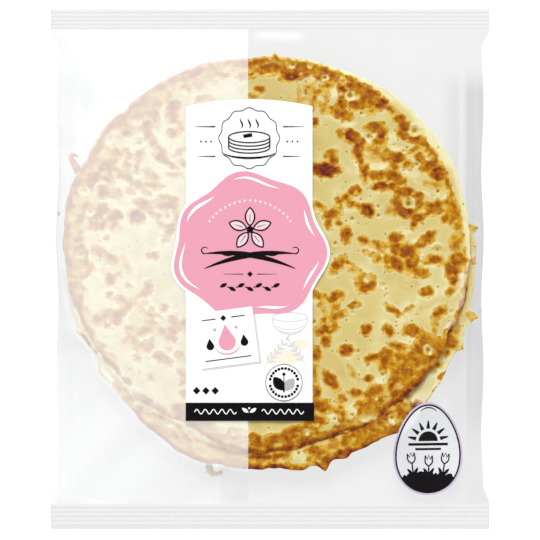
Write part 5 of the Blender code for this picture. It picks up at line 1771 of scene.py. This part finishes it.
def make_badge(materials):
    """An egg shape with a half sun over a meadow."""
    halo, face, dark = (Ink(f"badge_{name}", level) for name, level in BADGE_LEVELS.items())
    x, y = BADGE["middle"]
    halo.area(egg(0.0)[:-1])
    face.area(egg(0.9)[:-1])
    dark.stroke(egg(1.2)[:-1], 0.66, closed=True)
    dark.stroke(arc((x, y + 14.2), 3.8, 32, 148, 16, 1.1), taper(16, 0.5))
    sun = (x, y + 3.4)
    dark.area(arc(sun, 4.2, 0, 180, 26))
    for ray in range(7):
        turn = 12 + 156 * ray / 6
        dark.area(turned([(5.4, -0.85), (8.9, -0.25), (8.9, 0.25), (5.4, 0.85)], sun, turn))
    dark.stroke([(x - 8.6, y + 2.0), (x + 8.6, y + 2.0)], 1.1)
    dark.stroke([(x - 5.6, y - 0.1), (x + 5.6, y - 0.1)], 0.9)
    draw_meadow(dark)
    for ink in (halo, face, dark):
        ink.drape(DRAPE_CELL)
    halo.make(materials["lilac"], "badge_print")
    face.make(materials["pale"], "badge_print", "egg_badge")
    dark.make(materials["dark"], "badge_print")


# The stage


FLOOR_SIZE = 4.0
FLOOR_BLOTS = 60 * MM
FLOOR_TONES = ((0.125, 0.125, 0.125, 1), (0.135, 0.135, 0.135, 1))
FLOOR_GLOW = 0.92


def make_stage():
    """A white floor with a glow of its own, so that it shows as white as the photo's ground."""
    bpy.ops.mesh.primitive_plane_add(size=FLOOR_SIZE, location=(0, 0, 0))
    floor = bpy.context.object
    floor.name = "floor"
    material, tree = new_tree("pale_floor")
    inputs = {
        "Base Color": blend(tree, object_noise(tree, FLOOR_BLOTS, 2.0), *FLOOR_TONES),
        "Roughness": 0.9,
        "Specular IOR Level": 0.0,
        "Emission Color": (1, 1, 1, 1),
        "Emission Strength": FLOOR_GLOW,
    }
    finish_material(tree, add_node(tree, "BsdfPrincipled", inputs).outputs[0])
    floor.data.materials.append(material)


def add_sun(name, azimuth, elevation, strength, softness):
    """A wide lamp in the direction of an azimuth from +X and an elevation, in degrees."""
    lamp = bpy.data.lights.new(name, "SUN")
    lamp.energy = strength
    lamp.angle = math.radians(softness)
    made = bpy.data.objects.new(name, lamp)
    bpy.context.scene.collection.objects.link(made)
    turn, rise = math.radians(azimuth), math.radians(elevation)
    towards = Vector((math.cos(turn) * math.cos(rise), math.sin(turn) * math.cos(rise), math.sin(rise)))
    made.rotation_euler = towards.to_track_quat("Z", "Y").to_euler()


def make_light():
    """A bright studio round a darker spot overhead, and a wide lamp from the pack's top."""
    world = bpy.data.worlds.new("studio")
    bpy.context.scene.world = world
    world.use_nodes = True
    tree = world.node_tree
    tree.nodes.clear()
    ray = add_node(tree, "TexCoord").outputs["Generated"]
    up = add_node(tree, "SeparateXYZ", {0: ray}).outputs["Z"]
    level = span(tree, up, 0.80, 0.985, 0.74, 0.09)
    sky = add_node(tree, "Background", {"Color": (1.0, 1.0, 1.0, 1.0), "Strength": level}).outputs[0]
    output = add_node(tree, "OutputWorld")
    tree.links.new(sky, output.inputs["Surface"])
    add_sun("key", azimuth=98, elevation=48, strength=2.5, softness=30)
    add_sun("fill", azimuth=-35, elevation=60, strength=0.25, softness=40)


def make_camera():
    data = bpy.data.cameras.new("camera")
    data.lens = LENS
    data.sensor_width = SENSOR
    data.clip_start, data.clip_end = 0.05, 20.0
    camera = bpy.data.objects.new("camera", data)
    bpy.context.scene.collection.objects.link(camera)
    camera.location = (0.0, PHOTO_MIDDLE_Y, SHARP_HEIGHT + PHOTO_WIDTH * LENS / SENSOR)
    bpy.context.scene.camera = camera


def main():
    make_camera()
    make_light()
    make_stage()
    crepe = crepe_material()
    for number in range(1, CREPE_COUNT + 1):
        make_crepe(number, crepe)
    for name, (darkness, route) in STRANDS.items():
        make_strand(name, route, darkness, crepe)
    film = film_material()
    fronts, normals = make_film(film)
    make_back_seam(film)
    make_milky_print(ink_material("milky_ink", MILKY_COLOUR, MILKY_COVER), fronts, normals)
    materials = {key: ink_material(f"{key}_ink", colour) for key, colour in INK_COLOURS.items()}
    make_label(materials)
    make_badge(materials)
    bpy.context.scene.view_settings.view_transform = "Standard"


main()
